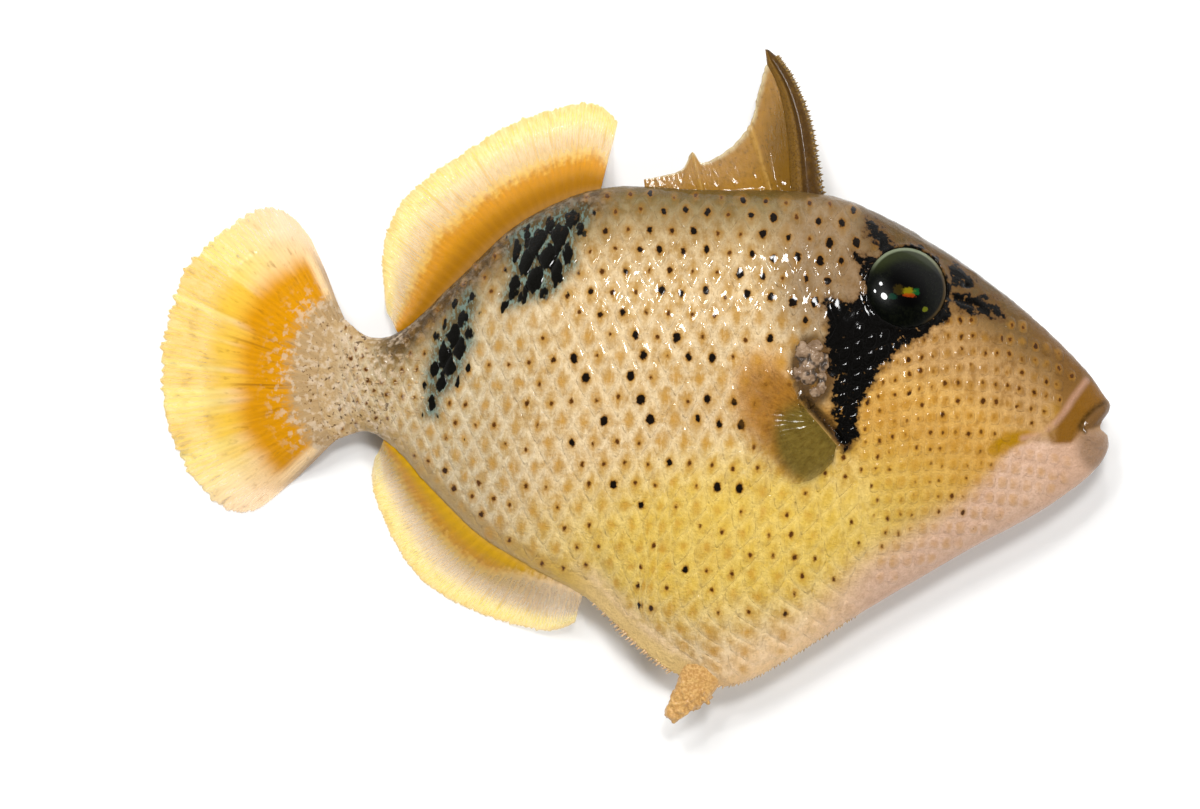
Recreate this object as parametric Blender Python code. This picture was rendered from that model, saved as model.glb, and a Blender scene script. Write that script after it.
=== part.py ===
"""A young yellowmargin triggerfish at life size, lying on its left side as it would rest.

Lengths are in millimetres, and MM turns them into Blender's metres. X runs to the snout, Y to
the back and Z up, so the fish's right side is uppermost. The body is one whole form that thin
cuts part into the head, trunk, tail and belly flap. The fins grow from its edges.
"""

import math
import random

import bmesh
import bpy
from mathutils import Matrix, Vector

MM = 0.001
GAP = 0.3
SEED = 45
BELOW_ALL, ABOVE_ALL = -3.0, 20.0

# The body's side outline: x and height of the back, then of the belly.
BACK = [(-31, 6.4), (-28.1, 4.8), (-25.2, 2.85), (-22.2, 3.6), (-17.7, 8.1), (-11.5, 14.4),
        (-4.1, 18.0), (5, 18.4), (17.2, 18.6), (24, 16.3), (31.7, 12.1), (38, 7.6), (42.5, 3.6),
        (44.4, 1.35), (45.0, 0.5)]
BELLY = [(-31, -8.7), (-27.8, -7.2), (-24.9, -6.15), (-22.2, -7.6), (-18.2, -11.5),
         (-13.8, -15.3), (-8.4, -18.2), (-2.9, -20.9), (0.6, -24.0), (5.0, -27.2), (9.1, -28.4),
         (13.1, -27.3), (23, -20.5), (31.8, -14.6), (39.1, -10.1), (42.9, -7.1), (44.4, -5.4),
         (45.0, -4.4)]
# Half the body's thickness where it is thickest, and the height at which that is.
WIDEST_HALF = [(-31, 0.8), (-28, 1.4), (-25, 2.2), (-20, 3.0), (-14, 4.2), (-6, 5.6), (2, 6.5),
               (10, 7.05), (17, 7.3), (22, 7.1), (28, 6.2), (34, 4.9), (40, 3.4), (43, 2.5),
               (44.4, 1.8), (45.0, 1.3)]
WIDEST_HEIGHT = [(-31, -1.2), (-15, -1.3), (0, 0.4), (15, 0.4), (25, -0.4), (35, -1.8),
                 (45.0, -2.0)]
# How sharp the back and the belly are: 1 is an ellipse, more is a keel, less is blunt.
BACK_SHARPNESS = [(-31, 1.0), (-10, 0.95), (10, 0.85), (22, 0.72), (34, 0.8), (45.0, 0.7)]
BELLY_SHARPNESS = [(-31, 1.0), (-14, 1.1), (0, 1.3), (8, 1.45), (24, 1.35), (36, 1.0),
                   (45.0, 0.7)]
NOSE_X = 45.0
TAIL_X = -31.0
MID_HEIGHT = 6.4
TAIL_SAG = 2.4
SAG_START, SAG_LENGTH = -2.0, 28.0
STATIONS = 54
STATION_CROWDING = 1.25
RING_POINTS = 32

# The flap of loose skin between the pelvic spine and the anal fin.
FLAP_X = (-3.0, 8.0)
FLAP_THINNING = 0.62
FLAP_DEPTH, FLAP_BLEND = 3.4, 1.6

# Cuts through the whole body, in side view.
HEAD_CUT = [(21.6, 21.0), (20.4, 13.0), (18.8, 5.0), (17.9, 0.2), (18.0, -2.4), (20.1, -4.7),
            (22.2, -11.0), (23.6, -24.0)]
TAIL_CUT = [(-18.6, 11.0), (-19.6, 4.0), (-19.6, -5.0), (-18.6, -13.0)]
FLAP_CUT = [(-4.6, -20.4), (-0.6, -20.2), (3.4, -22.0), (6.2, -25.2), (7.5, -29.4)]
SPINE_CUT = [(5.2, -27.0), (7.4, -28.25), (10.6, -29.2)]
TAIL_END = [(-27.8, 7.6), (-28.5, 5.0), (-29.6, 2.6), (-30.0, -1.0), (-29.5, -4.6),
            (-28.2, -7.4), (-27.4, -9.4)]
PAST_TAIL_X = -40.0
CUT_STEPS = 14
# Roughly where the middle of each piece of the body lies in side view.
PIECE_MIDDLES = {"head": (32.0, 0.0), "trunk": (1.0, -4.0), "tail": (-24.0, -1.0),
                 "belly_flap": (0.5, -24.0), "pelvic_spine": (7.5, -30.0)}

# The head's forms.
EYE = (24.9, 10.1)
EYE_RADIUS, EYE_HALF_DEPTH = 3.5, 2.3
EYE_BULGE = 0.6
RIM_RADIUS, RIM_THICKNESS, RIM_SINK = 3.75, 0.42, 0.2
GROOVE = [(28.6, 9.6), (31.0, 9.0), (34.1, 7.8)]
GROOVE_RADII = (0.62, 0.2)
NOSTRILS = [(29.7, 11.6), (30.7, 10.7)]
NOSTRIL_RADIUS, NOSTRIL_DEPTH = 0.42, 0.8
LIP_CORNER = (42.3, -2.25)
LIP_REACH, LIP_HALF_SPAN = 2.05, 2.3
LIP_CORNER_RADIUS = 0.42
LIP_ARC, LIP_FULLNESS = math.radians(200), 0.7
UPPER_LIP_RISE, UPPER_LIP_RADIUS = 2.45, 0.8
LOWER_LIP_RISE, LOWER_LIP_RADIUS = -1.2, 0.9
NOTCH = [(42.9, -2.2), (43.7, -1.85), (44.1, -1.75), (44.4, -1.1), (44.9, -0.5), (47.0, 1.6),
         (47.0, -4.6), (45.1, -2.75), (44.6, -2.35), (44.0, -2.1)]
MOUTH_LINE = [(43.6, -2.15), (42.5, -2.35), (41.9, -3.3), (41.9, -4.2)]
MOUTH_LINE_RADII = (0.28, 0.12)
FOLD = [(42.4, 3.0), (41.6, 1.2), (40.3, -1.0), (39.0, -2.4), (37.4, -3.2)]
FOLD_RADII = (0.3, 0.3)
FOLD_SINK = 0.14
GILL_SLIT = [(15.9, -0.7), (17.6, -2.3), (20.2, -4.9)]
GILL_SLIT_RADII = (0.2, 0.3)
GILL_SLIT_DEPTHS = {1: 1.6, -1: 5.0}
ROLL_END, ROLL_ROUNDING = 0.4, 0.1
LIP_STEPS = 12
EYE_SEGMENTS, EYE_RINGS = 16, 10
RIM_STEPS, RIM_SIDES = 20, 5

# The fins: how far the root keeps from the body, and how thick a membrane and its rays are.
MEMBRANE_HALF, RAY_HALF = 0.25, 0.42
SOFT_DORSAL_RAYS, ANAL_RAYS, CAUDAL_RAYS, PECTORAL_RAYS = 26, 24, 12, 14
RAY_TIP_REACH, RAY_TIP_SPREAD, RAY_FADE = 0.035, 0.02, 0.6
FIN_ROWS = [0.0, 0.09, 0.26, 0.45, 0.64, 0.83, 1.0]
PECTORAL_ROWS = [0.0, 0.2, 0.4, 0.6, 0.8, 1.0]
LEVEL_ROOT = 0.6
DROOP = 0.85
FLAT_FROM = 0.81
SOFT_DORSAL_X = (-4.3, -22.5)
SOFT_DORSAL_EDGE = [(-2.75, 24.9), (-5.3, 26.5), (-9.3, 25.6), (-13.3, 23.9), (-16.9, 21.4),
                    (-20.2, 18.9), (-22.9, 16.2), (-24.2, 13.4), (-24.6, 10.2), (-24.2, 7.3),
                    (-23.8, 5.4)]
ANAL_X = (-3.8, -23.3)
ANAL_EDGE = [(-4.2, -23.2), (-6.4, -24.2), (-9.6, -23.95), (-13.0, -23.1), (-16.3, -21.8),
             (-19.2, -20.0), (-21.4, -17.4), (-23.1, -14.4), (-24.2, -11.9), (-24.4, -10.2),
             (-24.1, -8.6)]
CAUDAL_ROOT = [(-28.6, 5.2), (-29.6, 2.6), (-30.0, -1.0), (-29.5, -4.6), (-28.2, -7.4)]
CAUDAL_EDGE = [(-31.6, 12.1), (-33.5, 14.0), (-35.6, 14.75), (-38.2, 13.6), (-41.2, 11.2),
               (-43.3, 8.4), (-44.5, 5.0), (-45.1, 1.5), (-45.1, -2.2), (-44.4, -6.2),
               (-42.7, -9.9), (-40.3, -12.9), (-37.6, -14.5), (-35.3, -14.2), (-33.2, -12.5)]
PECTORAL_ROOT = [(15.7, -1.5), (17.2, -2.9), (19.1, -4.9)]
PECTORAL_EDGE = [(14.3, 1.2), (12.3, 2.6), (10.1, 2.2), (9.1, 0.1), (9.2, -2.2), (10.0, -4.6),
                 (11.4, -6.6), (13.2, -8.0), (15.2, -8.7), (17.3, -8.0), (18.9, -6.4)]
PECTORAL_LIFT = 0.35
LEFT_PECTORAL_RAY_HALF = 0.3
POCKET_CENTRE, POCKET_RADII, POCKET_DEPTH = (14.0, -3.0), (7.7, 7.0), 0.95
POCKET_SIDES = 28
FLANK_DENT, DENT_EDGE, DENT_FALL = 0.45, 2.2, 1.4

# The spiny back fin: the first spine's front and rear edges, then where each rib of the
# membrane has its root on the back and its end on the outer edge.
FIRST_SPINE_FRONT = [(17.1, 18.2), (16.2, 22.3), (15.2, 25.9), (13.6, 29.2), (11.9, 31.4)]
FIRST_SPINE_REAR = [(13.9, 18.2), (13.5, 22.6), (12.9, 25.9), (12.1, 28.6), (11.0, 30.6)]
FIRST_SPINE_TIP = (10.9, 32.0)
FIRST_SPINE_HALF = [1.05, 0.9, 0.75, 0.6, 0.45]
SPINE_SIDES, SPINE_TIP_RADIUS = 12, 0.2
SPINY_RIBS = [(13.6, (10.7, 30.5)), (12.9, (10.3, 27.6)), (12.2, (9.7, 24.9)),
              (10.4, (8.2, 22.7)), (8.0, (6.6, 21.5)), (6.6, (5.3, 21.0)), (5.7, (4.4, 21.9)),
              (4.2, (3.6, 20.3)), (2.2, (2.0, 19.6)), (0.2, (0.0, 19.1))]
SPINY_RIB_SHARES = [0, 0, 1, 0, 0, 0, 1, 0, 0, 0]
SPINY_ROWS = [0.0, 0.15, 0.3, 0.45, 0.6, 0.8, 1.0]
SPINY_TIP_GAP = 0.15

# The rough stub at the pelvis: places along its middle, and its half sizes there.
PELVIC_LINE = [(8.2, -27.2), (7.3, -29.0), (6.1, -30.4), (5.2, -31.6)]
PELVIC_HALF_WIDTH = [2.3, 1.75, 1.0, 0.5]
PELVIC_HALF_DEPTH = [1.1, 0.95, 0.7, 0.4]
PELVIC_TIP = (4.9, -32.1)
STUB_ACROSS = (0.83, -0.55)

STUB_SIDES, STUB_TIP_RADIUS = 10, 0.15

# Small rough forms. Each pair is a spike's radius and its height.
SPIKE_SINK, SPIKE_SIDES, SPIKE_TURN = 0.3, 4, (0.31, 0.59, 0.74)
EDGE_SPIKE, EDGE_SPIKE_LEAN = (0.3, 0.3), 0.5
EDGE_SPIKE_SHIFT, EDGE_SPIKE_SIZES = 0.2, (0.7, 1.2)
KEEL_SPIKE_X, KEEL_SPIKES = (11.0, 21.5), 16
FLAP_SPIKE_X, FLAP_SPIKES = (-2.4, 4.6), 10
TAIL_SPINE_X, TAIL_SPINE_Y, TAIL_SPINE_STEP = (-27.6, -20.6), -1.6, 1.5
TAIL_SPINE_ROWS, TAIL_SPINES_IN_ROW = 4, 6
TAIL_SPINE, TAIL_SPINE_LEAN = (0.32, 0.32), 0.6
PELVIC_GRAINS, GRAIN_SPAN, GRAIN = 22, (0.42, 0.95), (0.28, 0.22)
GRAIN_SIZES, GRAIN_TURN = (0.7, 1.3), 2.4
TUBERCLES, TUBERCLE_SPAN, TUBERCLE = 11, (0.1, 0.95), (0.3, 0.26)
TUBERCLE_LEAN, TUBERCLE_SHIFT = 0.5, 0.12
SCUTES = [(15.2, 3.3, 0.75, 0.55), (16.6, 3.7, 0.7, 0.5), (15.6, 1.7, 0.9, 0.65),
          (17.0, 2.1, 0.95, 0.5), (15.5, 0.3, 0.75, 0.6), (16.8, 0.4, 0.85, 0.55)]
SCUTE_HEIGHT, SCUTE_LIE, SCUTE_FACES = 0.3, (0.5, 1, 0), (7, 4)

# Each node's colour and roughness.
SHARP_ANGLE = math.radians(40)
SKIN, FIN_SKIN, BONE = (0.62, 0.45, 0.22), (0.80, 0.52, 0.16), (0.36, 0.27, 0.13)
FINISHES = {
    "head": ((0.60, 0.42, 0.20), 0.35), "trunk": (SKIN, 0.35), "tail": (SKIN, 0.35),
    "belly_flap": ((0.74, 0.50, 0.30), 0.35), "pelvic_spine": ((0.72, 0.40, 0.22), 0.5),
    "eye_right": ((0.02, 0.02, 0.02), 0.05), "eye_left": ((0.02, 0.02, 0.02), 0.05),
    "first_dorsal_spine": (BONE, 0.45), "spiny_dorsal_fin": ((0.50, 0.36, 0.16), 0.3),
    "soft_dorsal_fin": (FIN_SKIN, 0.3), "anal_fin": (FIN_SKIN, 0.3),
    "caudal_fin": (FIN_SKIN, 0.3), "pectoral_fin_right": ((0.45, 0.33, 0.10), 0.25),
    "pectoral_fin_left": ((0.45, 0.33, 0.10), 0.25),
}


def smooth_step(t):
    """A rise from 0 to 1 with level ends."""
    t = min(max(t, 0.0), 1.0)
    return t * t * (3 - 2 * t)


def height_at(points, x):
    """The height at x of a smooth line through points whose x values rise."""
    x = min(max(x, points[0][0]), points[-1][0])
    i = 0
    while i < len(points) - 2 and x > points[i + 1][0]:
        i += 1
    slopes = []
    for k in (i, i + 1):
        before, after = points[max(k - 1, 0)], points[min(k + 1, len(points) - 1)]
        slopes.append((after[1] - before[1]) / (after[0] - before[0]))
    (x0, y0), (x1, y1) = points[i], points[i + 1]
    span = x1 - x0
    t = (x - x0) / span
    return (y0 * (1 + 2 * t) * (1 - t) ** 2 + slopes[0] * span * t * (1 - t) ** 2
            + y1 * t * t * (3 - 2 * t) - slopes[1] * span * t * t * (1 - t))


def curve_at(points, t):
    """The place at t, 0 to 1, on a smooth curve through points of any dimension."""
    reach = min(max(t, 0.0), 1.0) * (len(points) - 1)
    i = min(int(reach), len(points) - 2)
    s = reach - i
    near = [Vector(points[min(max(k, 0), len(points) - 1)]) for k in range(i - 1, i + 3)]
    start, end = (near[2] - near[0]) / 2, (near[3] - near[1]) / 2
    return (near[1] * (1 + 2 * s) * (1 - s) ** 2 + start * s * (1 - s) ** 2
            + near[2] * s * s * (3 - 2 * s) - end * s * s * (1 - s))


def mid_height(x):
    """Height over the floor of the fish's middle plane, which sags towards the tail."""
    return MID_HEIGHT - TAIL_SAG * smooth_step((SAG_START - x) / SAG_LENGTH)


def half_thickness(x, y):
    """Half the body's thickness at a place in side view."""
    back, belly = height_at(BACK, x), height_at(BELLY, x)
    mid = height_at(WIDEST_HEIGHT, x)
    if y >= mid:
        away, power = (y - mid) / (back - mid), height_at(BACK_SHARPNESS, x)
    else:
        away, power = (mid - y) / (mid - belly), height_at(BELLY_SHARPNESS, x)
    half = height_at(WIDEST_HALF, x) * max(1 - away * away, 0.0) ** (power / 2)
    middle = (FLAP_X[0] + FLAP_X[1]) / 2
    reach = (FLAP_X[1] - FLAP_X[0]) / 2
    in_flap = smooth_step(FLAP_BLEND - abs(x - middle) / reach)
    return half * (1 - FLAP_THINNING * in_flap * math.exp(-((y - belly) / FLAP_DEPTH) ** 2))


def fin_dent(x, y):
    """How far the flank is hollowed under a folded pectoral fin."""
    away = math.hypot(x - POCKET_CENTRE[0], y - POCKET_CENTRE[1]) / POCKET_RADII[0]
    return FLANK_DENT * smooth_step(DENT_EDGE - DENT_FALL * away)


def flank_point(x, y, side, out=0.0):
    """A place on the body's skin, on the right (side 1, above) or the left (side -1)."""
    dent = fin_dent(x, y) if side > 0 else 0.0
    return Vector((x, y, mid_height(x) + side * (half_thickness(x, y) - dent + out)))


def flank_normal(x, y, side):
    step = 0.4
    along = flank_point(x + step, y, side) - flank_point(x - step, y, side)
    up = flank_point(x, y + step, side) - flank_point(x, y - step, side)
    return along.cross(up).normalized() * side


def material(name, colour, roughness):
    made = bpy.data.materials.new(name)
    made.use_nodes = True
    shader = made.node_tree.nodes["Principled BSDF"]
    shader.inputs["Base Color"].default_value = (*colour, 1)
    shader.inputs["Roughness"].default_value = roughness
    shader.inputs["Metallic"].default_value = 0
    return made


def object_from(name, points, faces):
    """An object from points in millimetres, its faces turned outward."""
    form = bmesh.new()
    verts = [form.verts.new(Vector(p) * MM) for p in points]
    for face in faces:
        form.faces.new([verts[i] for i in face])
    bmesh.ops.recalc_face_normals(form, faces=form.faces)
    mesh = bpy.data.meshes.new(name)
    form.to_mesh(mesh)
    form.free()
    made = bpy.data.objects.new(name, mesh)
    bpy.context.collection.objects.link(made)
    return made


def loft(name, rings):
    """A closed solid through rings of points, with flat ends."""
    count = len(rings[0])
    points = [p for ring in rings for p in ring]
    faces = [tuple(range(count)), tuple(range(len(points) - count, len(points)))]
    for r in range(len(rings) - 1):
        for k in range(count):
            a, b = r * count + k, r * count + (k + 1) % count
            faces.append((a, b, b + count, a + count))
    return object_from(name, points, faces)


def ball(name, centre, sizes, turn=None, segments=10, rings=6):
    """An ellipsoid with the given half sizes, turned by a 3 by 3 matrix."""
    form = bmesh.new()
    bmesh.ops.create_uvsphere(form, u_segments=segments, v_segments=rings, radius=1)
    frame = (turn or Matrix.Identity(3)) @ Matrix.Diagonal(Vector(sizes))
    for vert in form.verts:
        vert.co = (frame @ vert.co + Vector(centre)) * MM
    mesh = bpy.data.meshes.new(name)
    form.to_mesh(mesh)
    form.free()
    made = bpy.data.objects.new(name, mesh)
    bpy.context.collection.objects.link(made)
    return made


def frame_along(normal, along):
    """A turn whose Z is the normal and whose X lies as near as it can to along."""
    z = normal.normalized()
    y = z.cross(along).normalized()
    return Matrix((y.cross(z), y, z)).transposed()


def tube(name, path, radii, sides=8, squash=1.0):
    """A closed tube along a path, its height over the flank times squash."""
    rings = []
    for i, here in enumerate(path):
        ahead = path[min(i + 1, len(path) - 1)] - path[max(i - 1, 0)]
        turn = frame_along(ahead, Vector((0, 0, 1)))
        ring = []
        for k in range(sides):
            angle = 2 * math.pi * k / sides
            flat = Vector((math.cos(angle) * squash, math.sin(angle), 0)) * radii[i]
            ring.append(here + turn @ flat)
        rings.append(ring)
    return loft(name, rings)


def upright(name, outline):
    """A cutter with the given outline in side view that reaches through the whole fish."""
    return loft(name, [[(*p, z) for p in outline] for z in (BELOW_ALL, ABOVE_ALL)])


def thin_wall(name, line, width):
    """A wall of the given width along a smooth line in side view, used to part the body."""
    inner, outer = [], []
    for k in range(CUT_STEPS + 1):
        here = curve_at(line, k / CUT_STEPS)
        ahead = curve_at(line, (k + 0.5) / CUT_STEPS) - curve_at(line, (k - 0.5) / CUT_STEPS)
        side = Vector((-ahead.y, ahead.x)).normalized() * width / 2
        inner.append(here + side)
        outer.append(here - side)
    return upright(name, inner + outer[::-1])


def combine(target, others, operation):
    """Joins or cuts the other objects at once, applies it and removes them."""
    tools = bpy.data.collections.new("tools")
    for other in others:
        bpy.context.collection.objects.unlink(other)
        tools.objects.link(other)
    bpy.context.scene.collection.children.link(tools)
    change = target.modifiers.new("Join or cut", "BOOLEAN")
    change.operation = operation
    change.operand_type = "COLLECTION"
    change.collection = tools
    graph = bpy.context.evaluated_depsgraph_get()
    result = bpy.data.meshes.new_from_object(target.evaluated_get(graph))
    target.modifiers.clear()
    target.data = result
    for other in others:
        bpy.data.objects.remove(other)
    bpy.data.collections.remove(tools)


def islands(mesh):
    """The mesh's separate closed surfaces, each a list of face numbers, largest first."""
    form = bmesh.new()
    form.from_mesh(mesh)
    form.faces.ensure_lookup_table()
    left = set(range(len(form.faces)))
    found = []
    while left:
        group, front = [], [left.pop()]
        while front:
            index = front.pop()
            group.append(index)
            for edge in form.faces[index].edges:
                near = {face.index for face in edge.link_faces} & left
                left -= near
                front.extend(near)
        found.append(group)
    form.free()
    return sorted(found, key=lambda group: -len(group))


def piece_of(mesh, name, group):
    """A new object that holds one group of the mesh's faces."""
    form = bmesh.new()
    form.from_mesh(mesh)
    form.faces.ensure_lookup_table()
    keep = set(group)
    drop = [face for face in form.faces if face.index not in keep]
    bmesh.ops.delete(form, geom=drop, context="FACES")
    made = bpy.data.meshes.new(name)
    form.to_mesh(made)
    form.free()
    obj = bpy.data.objects.new(name, made)
    bpy.context.collection.objects.link(obj)
    return obj


def keep_largest(obj):
    """Drops all but the object's largest closed surface."""
    found = islands(obj.data)
    if len(found) > 1:
        name, old = obj.name, obj.data
        bpy.data.objects.remove(obj)
        obj = piece_of(old, name, found[0])
    return obj


def whole_body():
    """The body from the tail's end to the jaws, in rings of points round stations along it."""
    rings = []
    for k in range(STATIONS + 1):
        x = NOSE_X - (NOSE_X - TAIL_X) * (1 - k / STATIONS) ** STATION_CROWDING
        back, belly = height_at(BACK, x), height_at(BELLY, x)
        mid = height_at(WIDEST_HEIGHT, x)
        ring = []
        for i in range(RING_POINTS):
            angle = 2 * math.pi * i / RING_POINTS
            reach = back - mid if math.cos(angle) > 0 else mid - belly
            y = mid + reach * math.cos(angle)
            side = 1 if i <= RING_POINTS / 2 else -1
            here = flank_point(x, y, side)
            here.z = max(here.z, 0.0)
            ring.append(here)
        rings.append(ring)
    return loft("whole", rings)


def lip(name, rise, radius):
    """One lip: a bent roll from corner to corner of the mouth round the front of the jaw."""
    path, radii = [], []
    for k in range(LIP_STEPS + 1):
        angle = LIP_ARC * (k / LIP_STEPS - 0.5)
        front = max(math.cos(angle), 0.0)
        x = LIP_CORNER[0] + LIP_REACH * math.cos(angle)
        z = mid_height(x) + LIP_HALF_SPAN * math.sin(angle)
        path.append(Vector((x, LIP_CORNER[1] + rise * front, z)))
        radii.append(LIP_CORNER_RADIUS + (radius - LIP_CORNER_RADIUS) * front ** LIP_FULLNESS)
    return tube(name, path, radii)


def roll(name, line, radii, side, squash=1.0, sink=0.0, steps=6):
    """A roll along a line on the flank, for a furrow's cut or a raised fold of skin."""
    path, sizes = [], []
    for k in range(steps + 1):
        here = curve_at(line, k / steps)
        path.append(flank_point(here.x, here.y, side, -sink))
        size = radii[0] + (radii[1] - radii[0]) * k / steps
        around = math.pi * (ROLL_ROUNDING + (1 - 2 * ROLL_ROUNDING) * k / steps)
        sizes.append(size * (ROLL_END + (1 - ROLL_END) * math.sin(around)))
    return tube(name, path, sizes, sides=6, squash=squash)


def eye_frame(side):
    """The middle of an eye and the turn that points its Z out of the head."""
    normal = flank_normal(*EYE, side)
    return flank_point(*EYE, side), normal, frame_along(normal, Vector((1, 0, 0)))


def eye_ball(name, side, extra=0.0):
    skin, normal, turn = eye_frame(side)
    centre = skin + normal * (EYE_BULGE - EYE_HALF_DEPTH)
    sizes = (EYE_RADIUS + extra, EYE_RADIUS + extra, EYE_HALF_DEPTH + extra)
    return ball(name, centre, sizes, turn, EYE_SEGMENTS, EYE_RINGS)


def eye_rim(name, side):
    """The raised fold round an eye."""
    skin, normal, turn = eye_frame(side)
    points, faces = [], []
    for k in range(RIM_STEPS):
        angle = 2 * math.pi * k / RIM_STEPS
        out = Vector((math.cos(angle), math.sin(angle), 0))
        for i in range(RIM_SIDES):
            around = 2 * math.pi * i / RIM_SIDES
            reach = RIM_RADIUS + RIM_THICKNESS * math.cos(around)
            place = out * reach + Vector((0, 0, RIM_THICKNESS * math.sin(around) - RIM_SINK))
            here = skin + turn @ place
            here.z = max(here.z, 0.0)
            points.append(here)
            ahead = (k + 1) % RIM_STEPS
            turned = (i + 1) % RIM_SIDES
            faces.append((k * RIM_SIDES + i, ahead * RIM_SIDES + i,
                          ahead * RIM_SIDES + turned, k * RIM_SIDES + turned))
    return object_from(name, points, faces)


def finish_head(head):
    """Adds the lips, folds and eye rims, and cuts the mouth, nostrils, grooves and sockets."""
    grown = [lip("upper lip", UPPER_LIP_RISE, UPPER_LIP_RADIUS),
             lip("lower lip", LOWER_LIP_RISE, LOWER_LIP_RADIUS)]
    for side in (1, -1):
        grown.append(eye_rim("rim", side))
        grown.append(roll("fold", FOLD, FOLD_RADII, side, sink=FOLD_SINK))
    combine(head, grown, "UNION")
    cuts = [upright("notch", NOTCH)]
    for side in (1, -1):
        cuts.append(eye_ball("socket", side, GAP))
        cuts.append(roll("groove", GROOVE, GROOVE_RADII, side))
        cuts.append(roll("mouth line", MOUTH_LINE, MOUTH_LINE_RADII, side))
        for place in NOSTRILS:
            normal = flank_normal(*place, side)
            sizes = (NOSTRIL_RADIUS, NOSTRIL_RADIUS, NOSTRIL_DEPTH)
            turn = frame_along(normal, Vector((1, 0, 0)))
            cuts.append(ball("nostril", flank_point(*place, side), sizes, turn, 8, 4))
    combine(head, cuts, "DIFFERENCE")
    return keep_largest(head)


def spike(base, out, radius, height):
    """A small pyramid that stands out from a surface, its base sunk under it."""
    out = Vector(out).normalized()
    turn = frame_along(out, Vector(SPIKE_TURN))
    low = Vector(base) - out * SPIKE_SINK
    points = []
    for k in range(SPIKE_SIDES):
        angle = 2 * math.pi * k / SPIKE_SIDES
        points.append(low + turn @ Vector((math.cos(angle), math.sin(angle), 0)) * radius)
    points.append(Vector(base) + out * height)
    faces = [(k, (k + 1) % SPIKE_SIDES, SPIKE_SIDES) for k in range(SPIKE_SIDES)]
    faces.append(tuple(range(SPIKE_SIDES)))
    return object_from("spike", points, faces)


def edge_spikes(line, span, count, chance):
    """A row of small points along the keel or the flap."""
    row = []
    for k in range(count):
        shift = chance.uniform(-EDGE_SPIKE_SHIFT, EDGE_SPIKE_SHIFT)
        x = span[0] + (span[1] - span[0]) * (k + 0.5 + shift) / count
        here, beyond = body_edge(line, x, 0.0), body_edge(line, x, -1.0)
        base = (here.x, here.y, mid_height(x) + shift)
        out = ((beyond - here).x - EDGE_SPIKE_LEAN, (beyond - here).y, 0)
        height = EDGE_SPIKE[1] * chance.uniform(*EDGE_SPIKE_SIZES)
        row.append(spike(base, out, EDGE_SPIKE[0], height))
    return row


def scutes():
    """The enlarged plates behind and above the right gill slit."""
    plates = []
    for x, y, long, wide in SCUTES:
        normal = flank_normal(x, y, 1)
        turn = frame_along(normal, Vector(SCUTE_LIE))
        sizes = (long, wide, SCUTE_HEIGHT)
        plates.append(ball("scute", flank_point(x, y, 1), sizes, turn, *SCUTE_FACES))
    return plates


def tail_spines():
    """Rows of small spines on each side of the tail's root, bent towards the head."""
    found = []
    step = (TAIL_SPINE_X[1] - TAIL_SPINE_X[0]) / TAIL_SPINES_IN_ROW
    for side in (1, -1):
        for row in range(TAIL_SPINE_ROWS):
            y = TAIL_SPINE_Y + TAIL_SPINE_STEP * (row - (TAIL_SPINE_ROWS - 1) / 2)
            for k in range(TAIL_SPINES_IN_ROW):
                x = TAIL_SPINE_X[0] + step * (k + 0.5 * (row % 2))
                out = flank_normal(x, y, side) + Vector((TAIL_SPINE_LEAN, 0, 0))
                found.append(spike(flank_point(x, y, side), out, *TAIL_SPINE))
    return found


def pelvic_grains(chance):
    """The grains that make the pelvic stub rough."""
    found = []
    for k in range(PELVIC_GRAINS):
        t = (k + 0.5) / PELVIC_GRAINS
        angle = GRAIN_TURN * k
        along = GRAIN_SPAN[0] + (GRAIN_SPAN[1] - GRAIN_SPAN[0]) * t
        here = curve_at(PELVIC_LINE, along)
        reach = along * (len(PELVIC_LINE) - 1)
        i = min(int(reach), len(PELVIC_LINE) - 2)
        wide, deep = [sizes[i] + (sizes[i + 1] - sizes[i]) * (reach - i)
                      for sizes in (PELVIC_HALF_WIDTH, PELVIC_HALF_DEPTH)]
        out = math.cos(angle) * wide
        base = (here.x + STUB_ACROSS[0] * out, here.y + STUB_ACROSS[1] * out,
                MID_HEIGHT + math.sin(angle) * deep)
        away = (STUB_ACROSS[0] * math.cos(angle) * deep, STUB_ACROSS[1] * math.cos(angle) * deep,
                math.sin(angle) * wide)
        found.append(spike(base, away, GRAIN[0], GRAIN[1] * chance.uniform(*GRAIN_SIZES)))
    return found


def spine_tubercles():
    """The small points along the front of the first spine."""
    found = []
    step = 0.03
    for k in range(TUBERCLES):
        t = TUBERCLE_SPAN[0] + (TUBERCLE_SPAN[1] - TUBERCLE_SPAN[0]) * k / (TUBERCLES - 1)
        side = (-1) ** k
        here = curve_at(FIRST_SPINE_FRONT, t)
        ahead = curve_at(FIRST_SPINE_FRONT, t + step) - curve_at(FIRST_SPINE_FRONT, t - step)
        base = (here.x, here.y, MID_HEIGHT + TUBERCLE_SHIFT * side)
        found.append(spike(base, (ahead.y, -ahead.x, TUBERCLE_LEAN * side), *TUBERCLE))
    return found


def add_rough_forms(nodes):
    """Fuses the scutes, small spines and grains to the nodes that they grow from."""
    chance = random.Random(SEED)
    forms = {
        "trunk": scutes() + edge_spikes(BELLY, KEEL_SPIKE_X, KEEL_SPIKES, chance),
        "belly_flap": edge_spikes(BELLY, FLAP_SPIKE_X, FLAP_SPIKES, chance),
        "tail": tail_spines(),
        "pelvic_spine": pelvic_grains(chance),
        "first_dorsal_spine": spine_tubercles(),
    }
    for name, grown in forms.items():
        combine(nodes[name], grown, "UNION")
        nodes[name] = keep_largest(nodes[name])


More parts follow.
